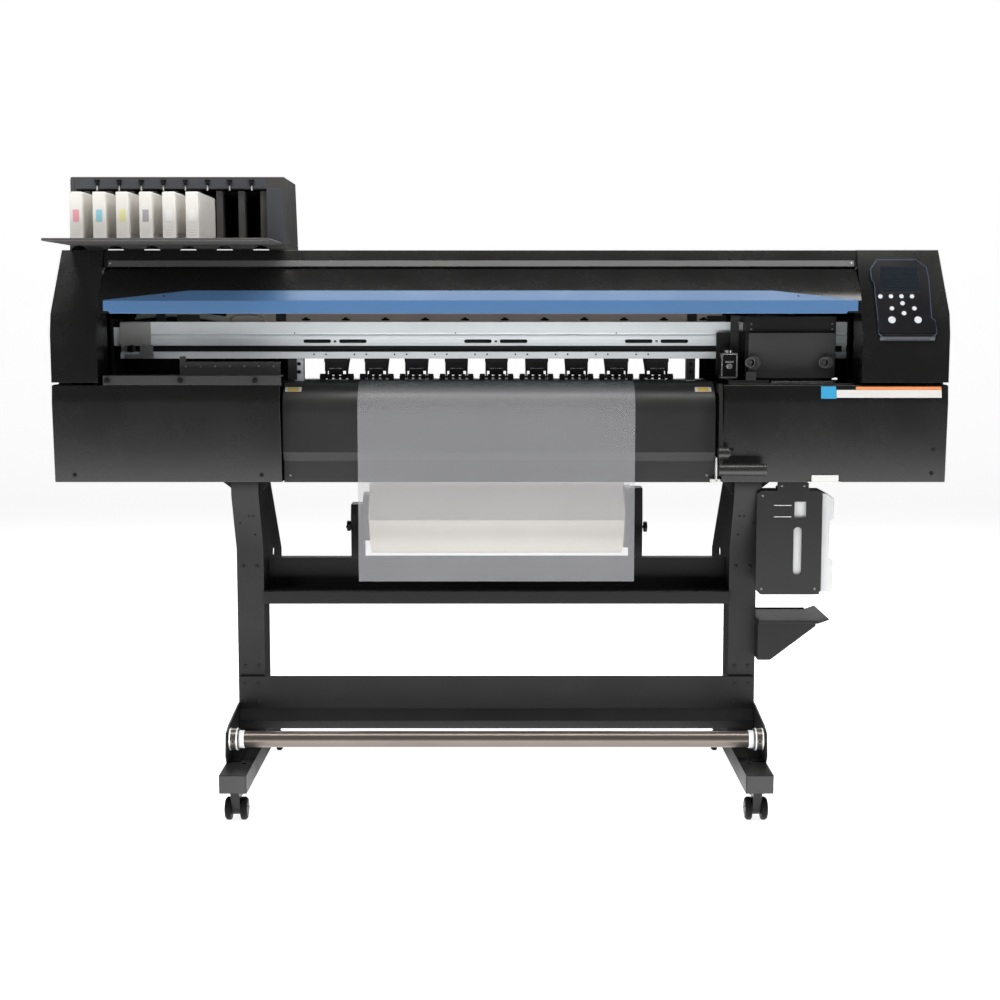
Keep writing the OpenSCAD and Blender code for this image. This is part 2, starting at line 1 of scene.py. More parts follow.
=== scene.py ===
"""Looks of the roll-fed printer and cutter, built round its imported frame.

Drawn in millimetres, with +Z up and the front at -Y.
"""
import json
import math

import bmesh
import bpy
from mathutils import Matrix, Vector


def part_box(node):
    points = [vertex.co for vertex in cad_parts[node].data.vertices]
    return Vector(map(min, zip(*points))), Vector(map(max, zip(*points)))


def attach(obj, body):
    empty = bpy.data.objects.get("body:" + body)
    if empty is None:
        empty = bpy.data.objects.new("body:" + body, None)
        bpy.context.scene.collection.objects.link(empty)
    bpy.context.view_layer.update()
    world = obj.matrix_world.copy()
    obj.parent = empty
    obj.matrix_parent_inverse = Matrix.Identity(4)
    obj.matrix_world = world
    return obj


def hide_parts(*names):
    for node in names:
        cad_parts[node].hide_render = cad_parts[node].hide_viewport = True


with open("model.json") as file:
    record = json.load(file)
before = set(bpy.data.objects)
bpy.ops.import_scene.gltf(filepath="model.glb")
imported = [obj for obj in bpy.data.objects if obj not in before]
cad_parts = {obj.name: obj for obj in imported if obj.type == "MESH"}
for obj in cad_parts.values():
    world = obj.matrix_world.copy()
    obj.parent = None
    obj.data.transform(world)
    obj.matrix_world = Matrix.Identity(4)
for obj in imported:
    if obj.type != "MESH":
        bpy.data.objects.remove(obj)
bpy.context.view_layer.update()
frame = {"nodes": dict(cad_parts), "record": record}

MM = 0.001
AXES = {"x": 0, "y": 1, "z": 2}
BODY_OF = {node: body for body, nodes in frame["record"]["behaviour"]["bodies"].items() for node in nodes}
SLOT_OF = {part["node"]: part["material_slot"] for part in frame["record"]["subparts"]}


def corners(node):
    """Lowest and highest corner of a CAD node, in millimetres."""
    low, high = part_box(node)
    return [v / MM for v in low], [v / MM for v in high]


# ---- node trees ----

class Tree:
    """Adds nodes to a tree. A value goes on the socket of that name, and a socket given as a value is linked."""

    def __init__(self, tree):
        self.tree = tree

    def add(self, kind, inputs=None, **settings):
        node = self.tree.nodes.new(kind)
        for key, value in settings.items():
            setattr(node, key, value)
        for key, value in (inputs or {}).items():
            self.put(node.inputs[key], value)
        return node

    def put(self, socket, value):
        if isinstance(value, bpy.types.NodeSocket):
            self.tree.links.new(value, socket)
        else:
            socket.default_value = value

    def math(self, operation, a, b=0.0):
        return self.add("ShaderNodeMath", {0: a, 1: b}, operation=operation).outputs[0]

    def remap(self, value, low, high, to_low, to_high):
        node = self.add("ShaderNodeMapRange", {"Value": value})
        for key, number in (("From Min", low), ("From Max", high), ("To Min", to_low), ("To Max", to_high)):
            node.inputs[key].default_value = number
        return node.outputs["Result"]

    def blend(self, factor, a, b):
        node = self.add("ShaderNodeMix", {0: factor, 6: a, 7: b}, data_type="RGBA")
        return node.outputs[2]


def rgba(colour):
    return (*colour, 1.0)


def new_shader(name):
    """A material with a Principled shader, its tree and the object coordinates."""
    material = bpy.data.materials.new(name)
    material.use_nodes = True
    tree = Tree(material.node_tree)
    shader = material.node_tree.nodes["Principled BSDF"]
    place = tree.add("ShaderNodeTexCoord").outputs["Object"]
    return material, tree, shader, place


def noise(tree, place, scale, detail=3.0, stretch=(1, 1, 1)):
    if stretch != (1, 1, 1):
        place = tree.add("ShaderNodeMapping", {"Vector": place, "Scale": stretch}).outputs[0]
    return tree.add("ShaderNodeTexNoise", {"Vector": place, "Scale": scale, "Detail": detail}).outputs[0]


def surface(name, colour, rough, metallic=0.0, grain=900.0, grain_depth=0.03, stretch=(1, 1, 1), smudge=0.06,
            edge=0.6, wear_and_glint=0.25, worn_and_glint=(0.12, 0.12, 0.122), specular=0.5, dust=0.0):
    """A moulded, painted or metal finish: fine grain, patchy gloss, softened edges, worn corners and settled dust.
    The same edge mask paints bright edge highlights where its colour is near white, as on the cutter body.
    """
    material, tree, shader, place = new_shader(name)
    round_edge = tree.add("ShaderNodeBevel", {"Radius": edge * MM}, samples=4).outputs[0]
    flat = tree.add("ShaderNodeNewGeometry").outputs["Normal"]
    turn = tree.add("ShaderNodeVectorMath", {0: round_edge, 1: flat}, operation="DOT_PRODUCT").outputs["Value"]
    patches = noise(tree, place, 7.0, 4.0)
    # edge mask: worn corners, and on the cutter body painted bright edge highlights
    chips_and_glints = tree.math("MULTIPLY", tree.remap(turn, 0.99, 0.8, 0.0, wear_and_glint), tree.remap(patches, 0.35, 0.65, 0.2, 1.0))
    tint = tree.blend(tree.remap(patches, 0.3, 0.7, 0.0, 1.0), rgba(colour), rgba([c * 0.9 for c in colour]))
    tint = tree.blend(chips_and_glints, tint, rgba(worn_and_glint))
    if dust:
        up = tree.add("ShaderNodeSeparateXYZ", {0: flat}).outputs["Z"]
        tint = tree.blend(tree.math("MULTIPLY", tree.remap(up, 0.5, 1.0, 0.0, dust), patches), tint,
                          rgba((0.3, 0.29, 0.28)))
    tree.put(shader.inputs["Base Color"], tint)
    marks = noise(tree, place, 60.0, 5.0, stretch)
    gloss = tree.math("ADD", tree.remap(patches, 0.3, 0.7, rough - smudge, rough + smudge),
                      tree.remap(marks, 0.3, 0.7, -smudge / 3, smudge / 3))
    tree.put(shader.inputs["Roughness"], gloss)
    skin = noise(tree, place, grain, 2.0, stretch)
    bump = tree.add("ShaderNodeBump", {"Height": skin, "Normal": round_edge, "Distance": grain_depth * MM})
    tree.put(shader.inputs["Normal"], bump.outputs[0])
    shader.inputs["Metallic"].default_value = metallic
    shader.inputs["Specular IOR Level"].default_value = specular
    return material


# ---- finishes ----

def clear_film():
    """Milky carrier film: about half of what is behind it shows, with faint lengthwise streaks."""
    material, tree, shader, place = new_shader("carrier_film")
    streaks = noise(tree, place, 30.0, 3.0, (1, 0.02, 0.02))
    clouds = noise(tree, place, 4.0, 2.0)
    tree.put(shader.inputs["Base Color"], tree.blend(clouds, rgba((0.345, 0.35, 0.37)), rgba((0.37, 0.37, 0.38))))
    tree.put(shader.inputs["Roughness"], tree.remap(streaks, 0.3, 0.7, 0.32, 0.40))
    tree.put(shader.inputs["Alpha"], tree.remap(clouds, 0.3, 0.7, 0.28, 0.31))
    ripple = tree.add("ShaderNodeBump", {"Height": noise(tree, place, 3.0, 0.0), "Distance": 0.0008})
    tree.put(shader.inputs["Normal"], ripple.outputs[0])
    return material


def wound_film():
    """The side of the film roll: many thin turns, and a warm painted glow that stands in for the light reaching the
    roll through the film.
    """
    material, tree, shader, place = new_shader("wound_film")
    turns = noise(tree, place, 400.0, 2.0, (1, 0.2, 0.2))
    bands = noise(tree, place, 18.0, 2.0, (1, 0.01, 0.01))
    tree.put(shader.inputs["Base Color"], tree.blend(bands, rgba((0.88, 0.83, 0.75)), rgba((0.95, 0.91, 0.84))))
    tree.put(shader.inputs["Roughness"], tree.remap(turns, 0.3, 0.7, 0.22, 0.34))
    # painted light: a warm emission makes the roll glow behind the film as if lit through it
    shader.inputs["Emission Color"].default_value = (1.0, 0.9, 0.78, 1)
    shader.inputs["Emission Strength"].default_value = 0.36
    return material


def display_glass():
    """Dark display: faint rows of cells behind a glossy pane."""
    material, tree, shader, place = new_shader("display_glass")
    cells = tree.add("ShaderNodeTexBrick", {"Vector": place, "Scale": 90.0, "Color1": rgba((0.012, 0.016, 0.022)),
                                            "Color2": rgba((0.016, 0.02, 0.028)), "Mortar": rgba((0.008, 0.01,
                                                    0.014))})
    tree.put(shader.inputs["Base Color"], cells.outputs["Color"])
    tree.put(shader.inputs["Roughness"], tree.remap(noise(tree, place, 25.0), 0.3, 0.7, 0.06, 0.14))
    return material


def milky_bottle():
    """Blow-moulded plastic: light goes a little way in, and the wall is slightly uneven."""
    material, tree, shader, place = new_shader("milky_bottle")
    lumps = noise(tree, place, 25.0, 2.0)
    tree.put(shader.inputs["Base Color"], tree.blend(lumps, rgba((0.52, 0.53, 0.54)), rgba((0.58, 0.58, 0.58))))
    tree.put(shader.inputs["Roughness"], tree.remap(noise(tree, place, 140.0), 0.3, 0.7, 0.3, 0.42))
    tree.put(shader.inputs["Normal"], tree.add("ShaderNodeBump", {"Height": lumps, "Distance": 0.0012}).outputs[0])
    shader.inputs["Subsurface Weight"].default_value = 0.1
    shader.inputs["Subsurface Radius"].default_value = (0.02, 0.02, 0.02)
    return material


def plain(name, colour, rough=0.45, **more):
    more.setdefault("worn_and_glint", [min(1, c * 1.25 + 0.03) for c in colour])
    return surface(name, colour, rough, **more)


LONG = {"stretch": (0.02, 1, 1), "grain": 500}
FINISHES = {
    "cover_black": surface("cover_satin_black", (0.0055, 0.0053, 0.0051), 0.27, grain=1400, grain_depth=0.015,
                           smudge=0.03, dust=0.02),
    "stand_paint": surface("stand_powder_coat", (0.0085, 0.0085, 0.0088), 0.4, grain=1100,
                           grain_depth=0.05, specular=0.25, dust=0.06),
    "frame_metal": surface("frame_black_paint", (0.010, 0.010, 0.0105), 0.42, grain=1200, grain_depth=0.04,
                           specular=0.25),
    "trim_blue": surface("blue_trim_paint", (0.067, 0.155, 0.31), 0.38, grain=1500, grain_depth=0.02,
                         worn_and_glint=(0.2, 0.32, 0.5)),
    "rail_metal": surface("anodised_rail", (0.88, 0.93, 0.95), 0.36, grain_depth=0.02,
                          worn_and_glint=(0.8, 0.82, 0.84), **LONG),
    "platen_metal": surface("platen_grey", (0.1, 0.1, 0.1), 0.36, metallic=0.6, worn_and_glint=(0.4, 0.4, 0.4), **LONG),
    "apron_grey": surface("apron_satin_paint", (0.019, 0.0188, 0.0187), 0.42, specular=0.3, grain=1300,
                          grain_depth=0.03),
    "ink_grey": surface("ink_unit_case", (0.065, 0.063, 0.062), 0.42, grain=1300, grain_depth=0.04, dust=0.1),
    "cartridge_white": surface("cartridge_cream_plastic", (0.82, 0.80, 0.76), 0.42, grain=1200,
                               worn_and_glint=(0.8, 0.8, 0.78)),
    "roller_steel": surface("grit_roller", (0.35, 0.35, 0.36), 0.5, metallic=0.9, grain=2500, grain_depth=0.2),
    "pinch_black": surface("pinch_unit_plastic", (0.012, 0.012, 0.012), 0.36, worn_and_glint=(0.2, 0.2, 0.2)),
    "carriage_grey": surface("carriage_front_panel", (0.043, 0.043, 0.0435), 0.42, grain=1500),
    "carriage_black": surface("carriage_body", (0.010, 0.010, 0.0105), 0.38),
    # cutter body: painted edge highlight, a bright outline painted on every rounded edge of the dark metal
    "cutter_metal": surface("cutter_body", (0.035, 0.035, 0.037), 0.25, metallic=0.8, edge=1.6, wear_and_glint=1.0,
                            worn_and_glint=(0.8, 0.8, 0.82)),
    "bar_metal": surface("take_up_bar_metal", (0.15, 0.128, 0.113), 0.3, metallic=0.7, grain_depth=0.001, smudge=0.01,
                         worn_and_glint=(0.7, 0.62, 0.56), wear_and_glint=0.1, stretch=(0.01, 1, 1), grain=300),
    "bottle_white": milky_bottle(),
    "panel_black": surface("control_panel_gloss", (0.009, 0.009, 0.011), 0.2, grain=2000, grain_depth=0.005),
    "key_grey": plain("key_plastic", (0.62, 0.64, 0.67), 0.4),
    "lever_black": surface("lever_plastic", (0.016, 0.0155, 0.015), 0.34),
    "holder_black": surface("holder_plastic", (0.014, 0.014, 0.014), 0.42),
    "caster_black": surface("caster_plastic", (0.006, 0.006, 0.006), 0.38, specular=0.2),
    "wheel_black": surface("wheel_rubber", (0.006, 0.006, 0.006), 0.6, grain_depth=0.08, dust=0.03, specular=0.1),
    "film_clear": clear_film(),
    "roll_film": wound_film(),
    "bright_steel": surface("bright_steel", (0.62, 0.62, 0.63), 0.25, metallic=0.85, worn_and_glint=(0.9, 0.9, 0.9)),
    "zinc": surface("zinc_screw", (0.2, 0.2, 0.2), 0.4, metallic=0.8, worn_and_glint=(0.5, 0.5, 0.5)),
    "cast_grey": plain("cast_block_grey", (0.4, 0.4, 0.39), 0.42),
    "strip_grey": plain("hinge_strip_grey", (0.115, 0.115, 0.115), 0.42),
    "bar_grey": surface("front_bar_grey", (0.035, 0.035, 0.036), 0.42),
    "interior_brown": surface("interior_sheet", (0.35, 0.31, 0.28), 0.4, worn_and_glint=(0.5, 0.48, 0.45)),
    "bezel_grey": surface("ink_bezel_grey", (0.062, 0.065, 0.075), 0.42),
    # black parts such as knobs, plugs, clips, hooks, sockets and screws, and black fills that paint the shade inside
    # holes, slots, vents and the handle pocket
    "black_and_hole_shade": surface("black_and_painted_hole_shade", (0.004, 0.004, 0.004), 0.6, specular=0.2, wear_and_glint=0.0),
    "glass": display_glass(),
    "navy": plain("panel_outline_navy", (0.03, 0.055, 0.11), 0.35),
    "pale": plain("pale_plastic", (0.62, 0.62, 0.61), 0.4),
    "tube": plain("ink_tube", (0.5, 0.52, 0.5), 0.25),
    "label_white": plain("label_white", (0.60, 0.59, 0.57), 0.5),
    "label_yellow": plain("label_yellow", (0.62, 0.42, 0.05), 0.5),
    "label_blue": plain("label_blue", (0.03, 0.28, 0.5), 0.5),
    "label_orange": plain("label_orange", (0.75, 0.25, 0.08), 0.5),
    "ink_pink": plain("ink_patch_pink", (0.82, 0.36, 0.42), 0.5),
    "ink_cyan": plain("ink_patch_cyan", (0.3, 0.62, 0.72), 0.5),
    "ink_yellow": plain("ink_patch_yellow", (0.8, 0.78, 0.36), 0.5),
    "ink_black": plain("ink_patch_grey", (0.4, 0.4, 0.42), 0.5),
    "ink_plain": plain("ink_patch_plain", (0.86, 0.85, 0.84), 0.5),
}


def paint_frame():
    """Gives every CAD node the finish of its material slot."""
    for node, slot in SLOT_OF.items():
        mesh = frame["nodes"][node].data
        mesh.materials.clear()
        mesh.materials.append(FINISHES[slot])


# ---- pieces ----

def soften(shape, width, segments=2, angle=30):
    """Rounds the sharp edges of a mesh."""
    if width:
        sharp = [e for e in shape.edges if e.is_manifold and e.calc_face_angle(0) > math.radians(angle)]
        bmesh.ops.bevel(shape, geom=sharp, offset=width, segments=segments, profile=0.5, affect="EDGES",
                        clamp_overlap=True)


def show(name, mesh, body, finishes, nodes=()):
    """A finished piece that rides on a body, in even shading."""
    piece = bpy.data.objects.new(name, mesh)
    bpy.context.collection.objects.link(piece)
    mesh.materials.clear()
    for finish in finishes:
        mesh.materials.append(FINISHES[finish])
    mesh.polygons.foreach_set("use_smooth", [True] * len(mesh.polygons))
    mesh.set_sharp_from_angle(angle=math.radians(38))
    piece.modifiers.new("even_shading", "WEIGHTED_NORMAL").keep_sharp = True
    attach(piece, body)
    if nodes:
        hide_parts(*nodes)
    return piece


def round_node(node, width, segments=2, finish=None):
    """The node's own shape with its edges rounded, shown in its place."""
    mesh = frame["nodes"][node].data.copy()
    shape = bmesh.new()
    shape.from_mesh(mesh)
    bmesh.ops.remove_doubles(shape, verts=shape.verts, dist=1e-5)
    bmesh.ops.dissolve_limit(shape, angle_limit=math.radians(2), verts=shape.verts, edges=shape.edges)
    soften(shape, width * MM, segments)
    shape.to_mesh(mesh)
    shape.free()
    slot = SLOT_OF[node]
    return show(node + "_shell", mesh, BODY_OF[node], [finish or slot], [node])


class Shape:
    """Collects solids, drawn in millimetres, into one piece."""

    def __init__(self):
        self.mesh = bmesh.new()

    def loft(self, rings, finish=0, closed=False):
        """Skin over rings of points. Closed joins the last ring to the first, otherwise both ends are capped."""
        rows = [[self.mesh.verts.new(point) for point in ring] for ring in rings]
        pairs = list(zip(rows, rows[1:] + rows[:1] if closed else rows[1:]))
        faces = []
        for a, b in pairs:
            for i in range(len(a)):
                j = (i + 1) % len(a)
                faces.append(self.mesh.faces.new((a[i], a[j], b[j], b[i])))
        if not closed:
            faces += [self.mesh.faces.new(rows[0]), self.mesh.faces.new(rows[-1])]
        for face in faces:
            face.material_index = finish
        return self

    def outline(self, axis, start, end, points, finish=0):
        """An outline drawn along an axis. Its points are the other two coordinates, in the order x, y, z."""
        def place(point, along):
            point = list(point)
            point.insert(AXES[axis], along)
            return point
        return self.loft([[place(p, start) for p in points], [place(p, end) for p in points]], finish)

    def box(self, low, high, finish=0):
        (x0, y0, z0), (x1, y1, z1) = low, high
        return self.outline("x", x0, x1, [(y0, z0), (y1, z0), (y1, z1), (y0, z1)], finish)

    def turned(self, axis, centre, profile, sides=24, finish=0, closed=False):
        """A turned solid. Profile is (place along the axis, radius), and centre the other two coordinates."""
        rings = []
        for along, radius in profile:
            ring = []
            for i in range(sides):
                angle = 2 * math.pi * i / sides
                point = [centre[0] + radius * math.cos(angle), centre[1] + radius * math.sin(angle)]
                point.insert(AXES[axis], along)
                ring.append(point)
            rings.append(ring)
        return self.loft(rings, finish, closed)

    def rod(self, axis, centre, radius, start, end, sides=24, finish=0, chamfer=0.0):
        low, high = min(start, end), max(start, end)
        ends = [(low, radius - chamfer), (high, radius - chamfer)]
        profile = [ends[0], (low + chamfer, radius), (high - chamfer, radius), ends[1]] if chamfer else ends
        return self.turned(axis, centre, profile, sides, finish)

    def ring(self, axis, centre, inner, outer, start, end, sides=28, finish=0):
        profile = [(start, inner), (start, outer), (end, outer), (end, inner)]
        return self.turned(axis, centre, profile, sides, finish, closed=True)

    def tube(self, path, radius, sides=8, finish=0):
        """A bent round tube along a path of points."""
        path = [Vector(point) for point in path]
        rings = []
        for i, point in enumerate(path):
            ahead = (path[min(i + 1, len(path) - 1)] - path[max(i - 1, 0)]).normalized()
            side = ahead.cross(Vector((0, 0, 1)) if abs(ahead.z) < 0.9 else Vector((0, 1, 0))).normalized()
            up = side.cross(ahead)
            rings.append([point + radius * (math.cos(t) * side + math.sin(t) * up)
                          for t in (2 * math.pi * k / sides for k in range(sides))])
        return self.loft(rings, finish)

    def solid(self, bevel=0.0, segments=2):
        """The shape as a mesh, in metres."""
        bmesh.ops.recalc_face_normals(self.mesh, faces=self.mesh.faces)
        soften(self.mesh, bevel, segments)
        bmesh.ops.scale(self.mesh, vec=(MM, MM, MM), verts=self.mesh.verts)
        mesh = bpy.data.meshes.new("shape")
        self.mesh.to_mesh(mesh)
        self.mesh.free()
        return mesh

    def done(self, name, body, *finishes, bevel=0.4, segments=2, slot=None):
        mesh = self.solid(bevel, segments)
        mesh.name = name
        return show(name, mesh, body, finishes)


# ---- repeated items ----

def node_group(name, sockets):
    group = bpy.data.node_groups.new(name, "GeometryNodeTree")
    for socket, kind in sockets:
        group.interface.new_socket(socket, in_out="INPUT", socket_type="NodeSocket" + kind)
    group.interface.new_socket("Geometry", in_out="OUTPUT", socket_type="NodeSocketGeometry")
    return group, Tree(group)


def place_items(tree, given, points):
    """Puts the item on the points, turned, real and in its finish, and ends the group."""
    item = tree.add("GeometryNodeObjectInfo", {"Object": given["Item"]}).outputs["Geometry"]
    turn = tree.add("FunctionNodeEulerToRotation", {0: given["Turn"]}).outputs[0]
    copies = tree.add("GeometryNodeInstanceOnPoints", {"Points": points, "Instance": item, "Rotation": turn})
    real = tree.add("GeometryNodeRealizeInstances", {"Geometry": copies.outputs[0]})
    painted = tree.add("GeometryNodeSetMaterial", {"Geometry": real.outputs[0], "Material": given["Finish"]})
    tree.add("NodeGroupOutput", {"Geometry": painted.outputs[0]})


def make_rows_group():
    """Rows of one item: where they start, the step and number along a row, and the step and number of rows."""
    group, tree = node_group("rows_of_items", [
        ("Item", "Object"), ("Start", "Vector"), ("Step", "Vector"), ("Count", "Int"), ("Row Step", "Vector"),
        ("Rows", "Int"), ("Turn", "Vector"), ("Finish", "Material")])
    given = tree.add("NodeGroupInput").outputs
    row = tree.add("GeometryNodeMeshLine", {"Count": given["Count"], "Start Location": given["Start"],
                                            "Offset": given["Step"]}, mode="OFFSET")
    rows = tree.add("GeometryNodeMeshLine", {"Count": given["Rows"], "Offset": given["Row Step"]}, mode="OFFSET")
    grid = tree.add("GeometryNodeInstanceOnPoints", {"Points": rows.outputs[0], "Instance": row.outputs[0]})
    real = tree.add("GeometryNodeRealizeInstances", {"Geometry": grid.outputs[0]})
    place_items(tree, given, real.outputs[0])
    return group


def make_points_group():
    """One item on each of the given points."""
    group, tree = node_group("items_on_points", [
        ("Geometry", "Geometry"), ("Item", "Object"), ("Turn", "Vector"), ("Finish", "Material")])
    given = tree.add("NodeGroupInput").outputs
    place_items(tree, given, given["Geometry"])
    return group


ROWS = make_rows_group()
POINTS = make_points_group()


def metres(vector):
    return [v * MM for v in vector]


def grown(name, body, finish, group, points, item, values):
    """Runs a node group on the points and keeps the result as a plain piece."""
    mesh = bpy.data.meshes.new(name + "_points")
    mesh.from_pydata([metres(point) for point in points], [], [])
    holder = bpy.data.objects.new(name + "_holder", mesh)
    thing = bpy.data.objects.new(name + "_item", item)
    for obj in (holder, thing):
        bpy.context.collection.objects.link(obj)
    modifier = holder.modifiers.new("items", "NODES")
    modifier.node_group = group
    values = {"Item": thing, "Finish": FINISHES[finish], **values}
    for socket in group.interface.items_tree:
        if socket.in_out == "INPUT" and socket.name in values:
            modifier[socket.identifier] = values[socket.name]
    ready = holder.evaluated_get(bpy.context.evaluated_depsgraph_get())
    result = bpy.data.meshes.new_from_object(ready)
    for obj in (holder, thing):
        bpy.data.objects.remove(obj)
    result.name = name
    return show(name, result, body, [finish])


def rows(name, body, finish, item, start, step, count, row_step=(0, 0, 0), row_count=1, turn=(0, 0, 0), slot=None):
    values = {"Start": metres(start), "Step": metres(step), "Count": count, "Row Step": metres(row_step),
              "Rows": row_count, "Turn": [math.radians(a) for a in turn]}
    return grown(name, body, finish, ROWS, [(0, 0, 0)], item, values)


def on_points(name, body, finish, item, points, turn=(0, 0, 0)):
    return grown(name, body, finish, POINTS, points, item, {"Turn": [math.radians(a) for a in turn]})


def screw_head(radius=4.0):
    """A domed screw head with a cross recess, facing -Y, its base at the origin."""
    head = Shape()
    head.turned("y", (0, 0), [(0.4, radius), (-0.3 * radius, radius), (-0.5 * radius, radius * 0.75)], 16)
    for turn in (0, 1):
        wide, high = (0.5, 0.13) if turn else (0.13, 0.5)
        head.box((-radius * wide, -0.58 * radius, -radius * high), (radius * wide, -0.4 * radius, radius * high))
    return head.solid(0.15, 1)


def disc(radius, proud=0.3):
    """A flat round disc facing -Y, its base at the origin; in black it paints the shade inside a hole."""
    return Shape().rod("y", (0, 0), radius, -proud, 0.3, 16).solid(0.1, 1)


def slot_bar(length, height, proud=0.5):
    """A rounded slot facing -Y."""
    r = height / 2
    ends = [(side * (length / 2 - r) + side * r * math.cos(a), r * math.sin(a) * side)
            for side in (1, -1) for a in [math.radians(k) for k in range(-90, 91, 30)]]
    return Shape().outline("y", -proud, 0.3, ends).solid(0.15, 1)


# ---- rounded casings and structure ----

ROUNDING = {
    "tower_left": 1.4, "tower_right": 1.4, "lower_cover_left": 1.4, "lower_cover_right": 1.4, "top_cover": 1.2,
    "front_cover": 1.0, "front_trim": 1.2, "front_apron": 1.2, "ink_holder": 2.5, "ink_tray": 1.5,
    "leg_left": 1.0, "leg_right": 1.0, "feet": 1.5, "upper_crossbeam": 1.2, "lower_crossbeam": 1.2,
    "bar_brackets": 0.8, "carriage": 1.5, "carriage_cover": 1.5, "clamp_lever": 1.5, "waste_bracket": 0.6,
    "waste_bottle": 2.5, "side_shelf": 0.8, "roll_rail": 1.5, "roll_holder_left": 1.5, "roll_holder_right": 1.5,
    "control_panel": 0.8, "take_up_bar": 1.0, "y_rail": 0.5, "pinch_arms": 0.7,
}


def round_casings():
    for node, width in ROUNDING.items():
        round_node(node, width)
    for i in range(1, 7):
        round_node(f"cartridge_{i}", 1.6)
    for i in range(1, 5):
        round_node(f"caster_fork_{i}", 1.2)
        round_node(f"caster_wheels_{i}", 1.4)
    for i in range(1, 11):
        round_node(f"key_{i}", 0.8)


def make_film():
    """The film in its own finish."""
    sheet = round_node("film", 0)


# ---- front of the body ----

def make_top_strip():
    """Grey strip over the hinge of the front cover."""
    (x0, y0, _), (x1, _, _) = corners("top_cover")
    lip = 1194.5
    strip = Shape().outline("x", x0 + 11, x1 - 7, [(y0 - 1.6, lip + 1.5), (y0 + 4.2, lip + 14.5),
                                                   (y0 + 5.6, lip + 14),
                                                    (y0 + 0.4, lip + 1)])
    strip.done("hinge_strip", "machine", "strip_grey", bevel=0.3)
    screws = [(x0 + 17, y0 + 0.2, lip + 8), (x1 - 13, y0 + 0.2, lip + 8)]
    on_points("hinge_strip_screws", "machine", "bright_steel", screw_head(2.6), screws, (-24, 0, 0))


def make_front_cover_screws():
    (x0, y0, _), (x1, _, z1) = corners("front_trim")
    places = [(x0 + 131, y0 + 7.5, z1 - 12.5), (x1 - 129, y0 + 7.5, z1 - 12.5)]
    on_points("band_screws", "front_cover", "frame_metal", screw_head(2.6), places, (-32, 0, 0))


def make_front_bar():
    """Bar under the left opening with its three thumb screws, and the block behind it."""
    (_, y0, _), (x1, _, top) = corners("lower_cover_left")
    left = corners("tower_left")[1][0]
    bar = Shape().box((left + 10, y0 + 8, top + 0.3), (x1 + 2, y0 + 20, top + 21))
    bar.box((left + 10, y0 + 20, top + 18), (x1 + 2, y0 + 55, top + 21))
    bar.done("front_bar", "machine", "bar_grey", bevel=0.8)
    knobs = Shape()
    for x in (left + 19, left + 179, left + 342):
        knobs.rod("y", (x, top + 10), 5.6, y0 + 0.5, y0 + 8.4, 20, chamfer=1)
        knobs.rod("y", (x, top + 10), 2.4, y0 - 0.6, y0 + 0.8, 12)
    knobs.done("front_bar_knobs", "machine", "black_and_hole_shade", bevel=0.2)
    plate = Shape().box((-704, -148, top + 20), (x1 - 3, -144, top + 50))
    plate.box((-704, -144, top + 46), (x1 - 3, -134, top + 50))
    plate.box((-704, -147, top + 50), (-692, -135, top + 62))
    plate.done("station_plate", "machine", "bar_grey", bevel=0.8)
    row = [(-690 + 32 * i, -148, top + 40) for i in range(7)]
    on_points("station_plate_screws", "machine", "zinc", screw_head(2.4), row)


def make_cover_details():
    """Handle pocket, plugs and screw holes on the lower covers."""
    (x0, y0, z0), (x1, _, z1) = corners("lower_cover_left")
    # painted shade: a black sheet over the handle pocket stands in for the shade inside it
    pocket = Shape().outline("x", x0 + 256, x0 + 337, [(y0 + 7.9, z1 - 3), (y0 + 0.6, z1 - 36), (y0 + 2, z1 - 37),
                                                        (y0 + 10, z1 - 3)])
    pocket.done("handle_pocket", "machine", "black_and_hole_shade", bevel=0.5)
    right_low, right_high = corners("lower_cover_right")
    lean = -8.1
    plugs = [(x0 + 46, y0 + 22.2, z0 + 16), (x1 - 45, y0 + 22.2, z0 + 16)]
    plugs += [(right_high[0] - 32, y0 + 15, z0 + 73), (right_high[0] - 33, y0 + 22, z0 + 20),
              (right_low[0] + 20, y0 + 15, z0 + 73)]
    on_points("cover_plugs", "machine", "black_and_hole_shade", screw_head(4.6), plugs, (-lean, 0, 0))
    outlet = Shape().box((right_low[0] + 198, y0 + 19, z0 + 0.5), (right_low[0] + 257, y0 + 26, z0 + 16))
    outlet.box((right_low[0] + 190, y0 + 18.5, z0 - 1), (right_low[0] + 262, y0 + 30, z0 + 1.5))
    outlet.done("drain_outlet", "machine", "pale", bevel=0.8)


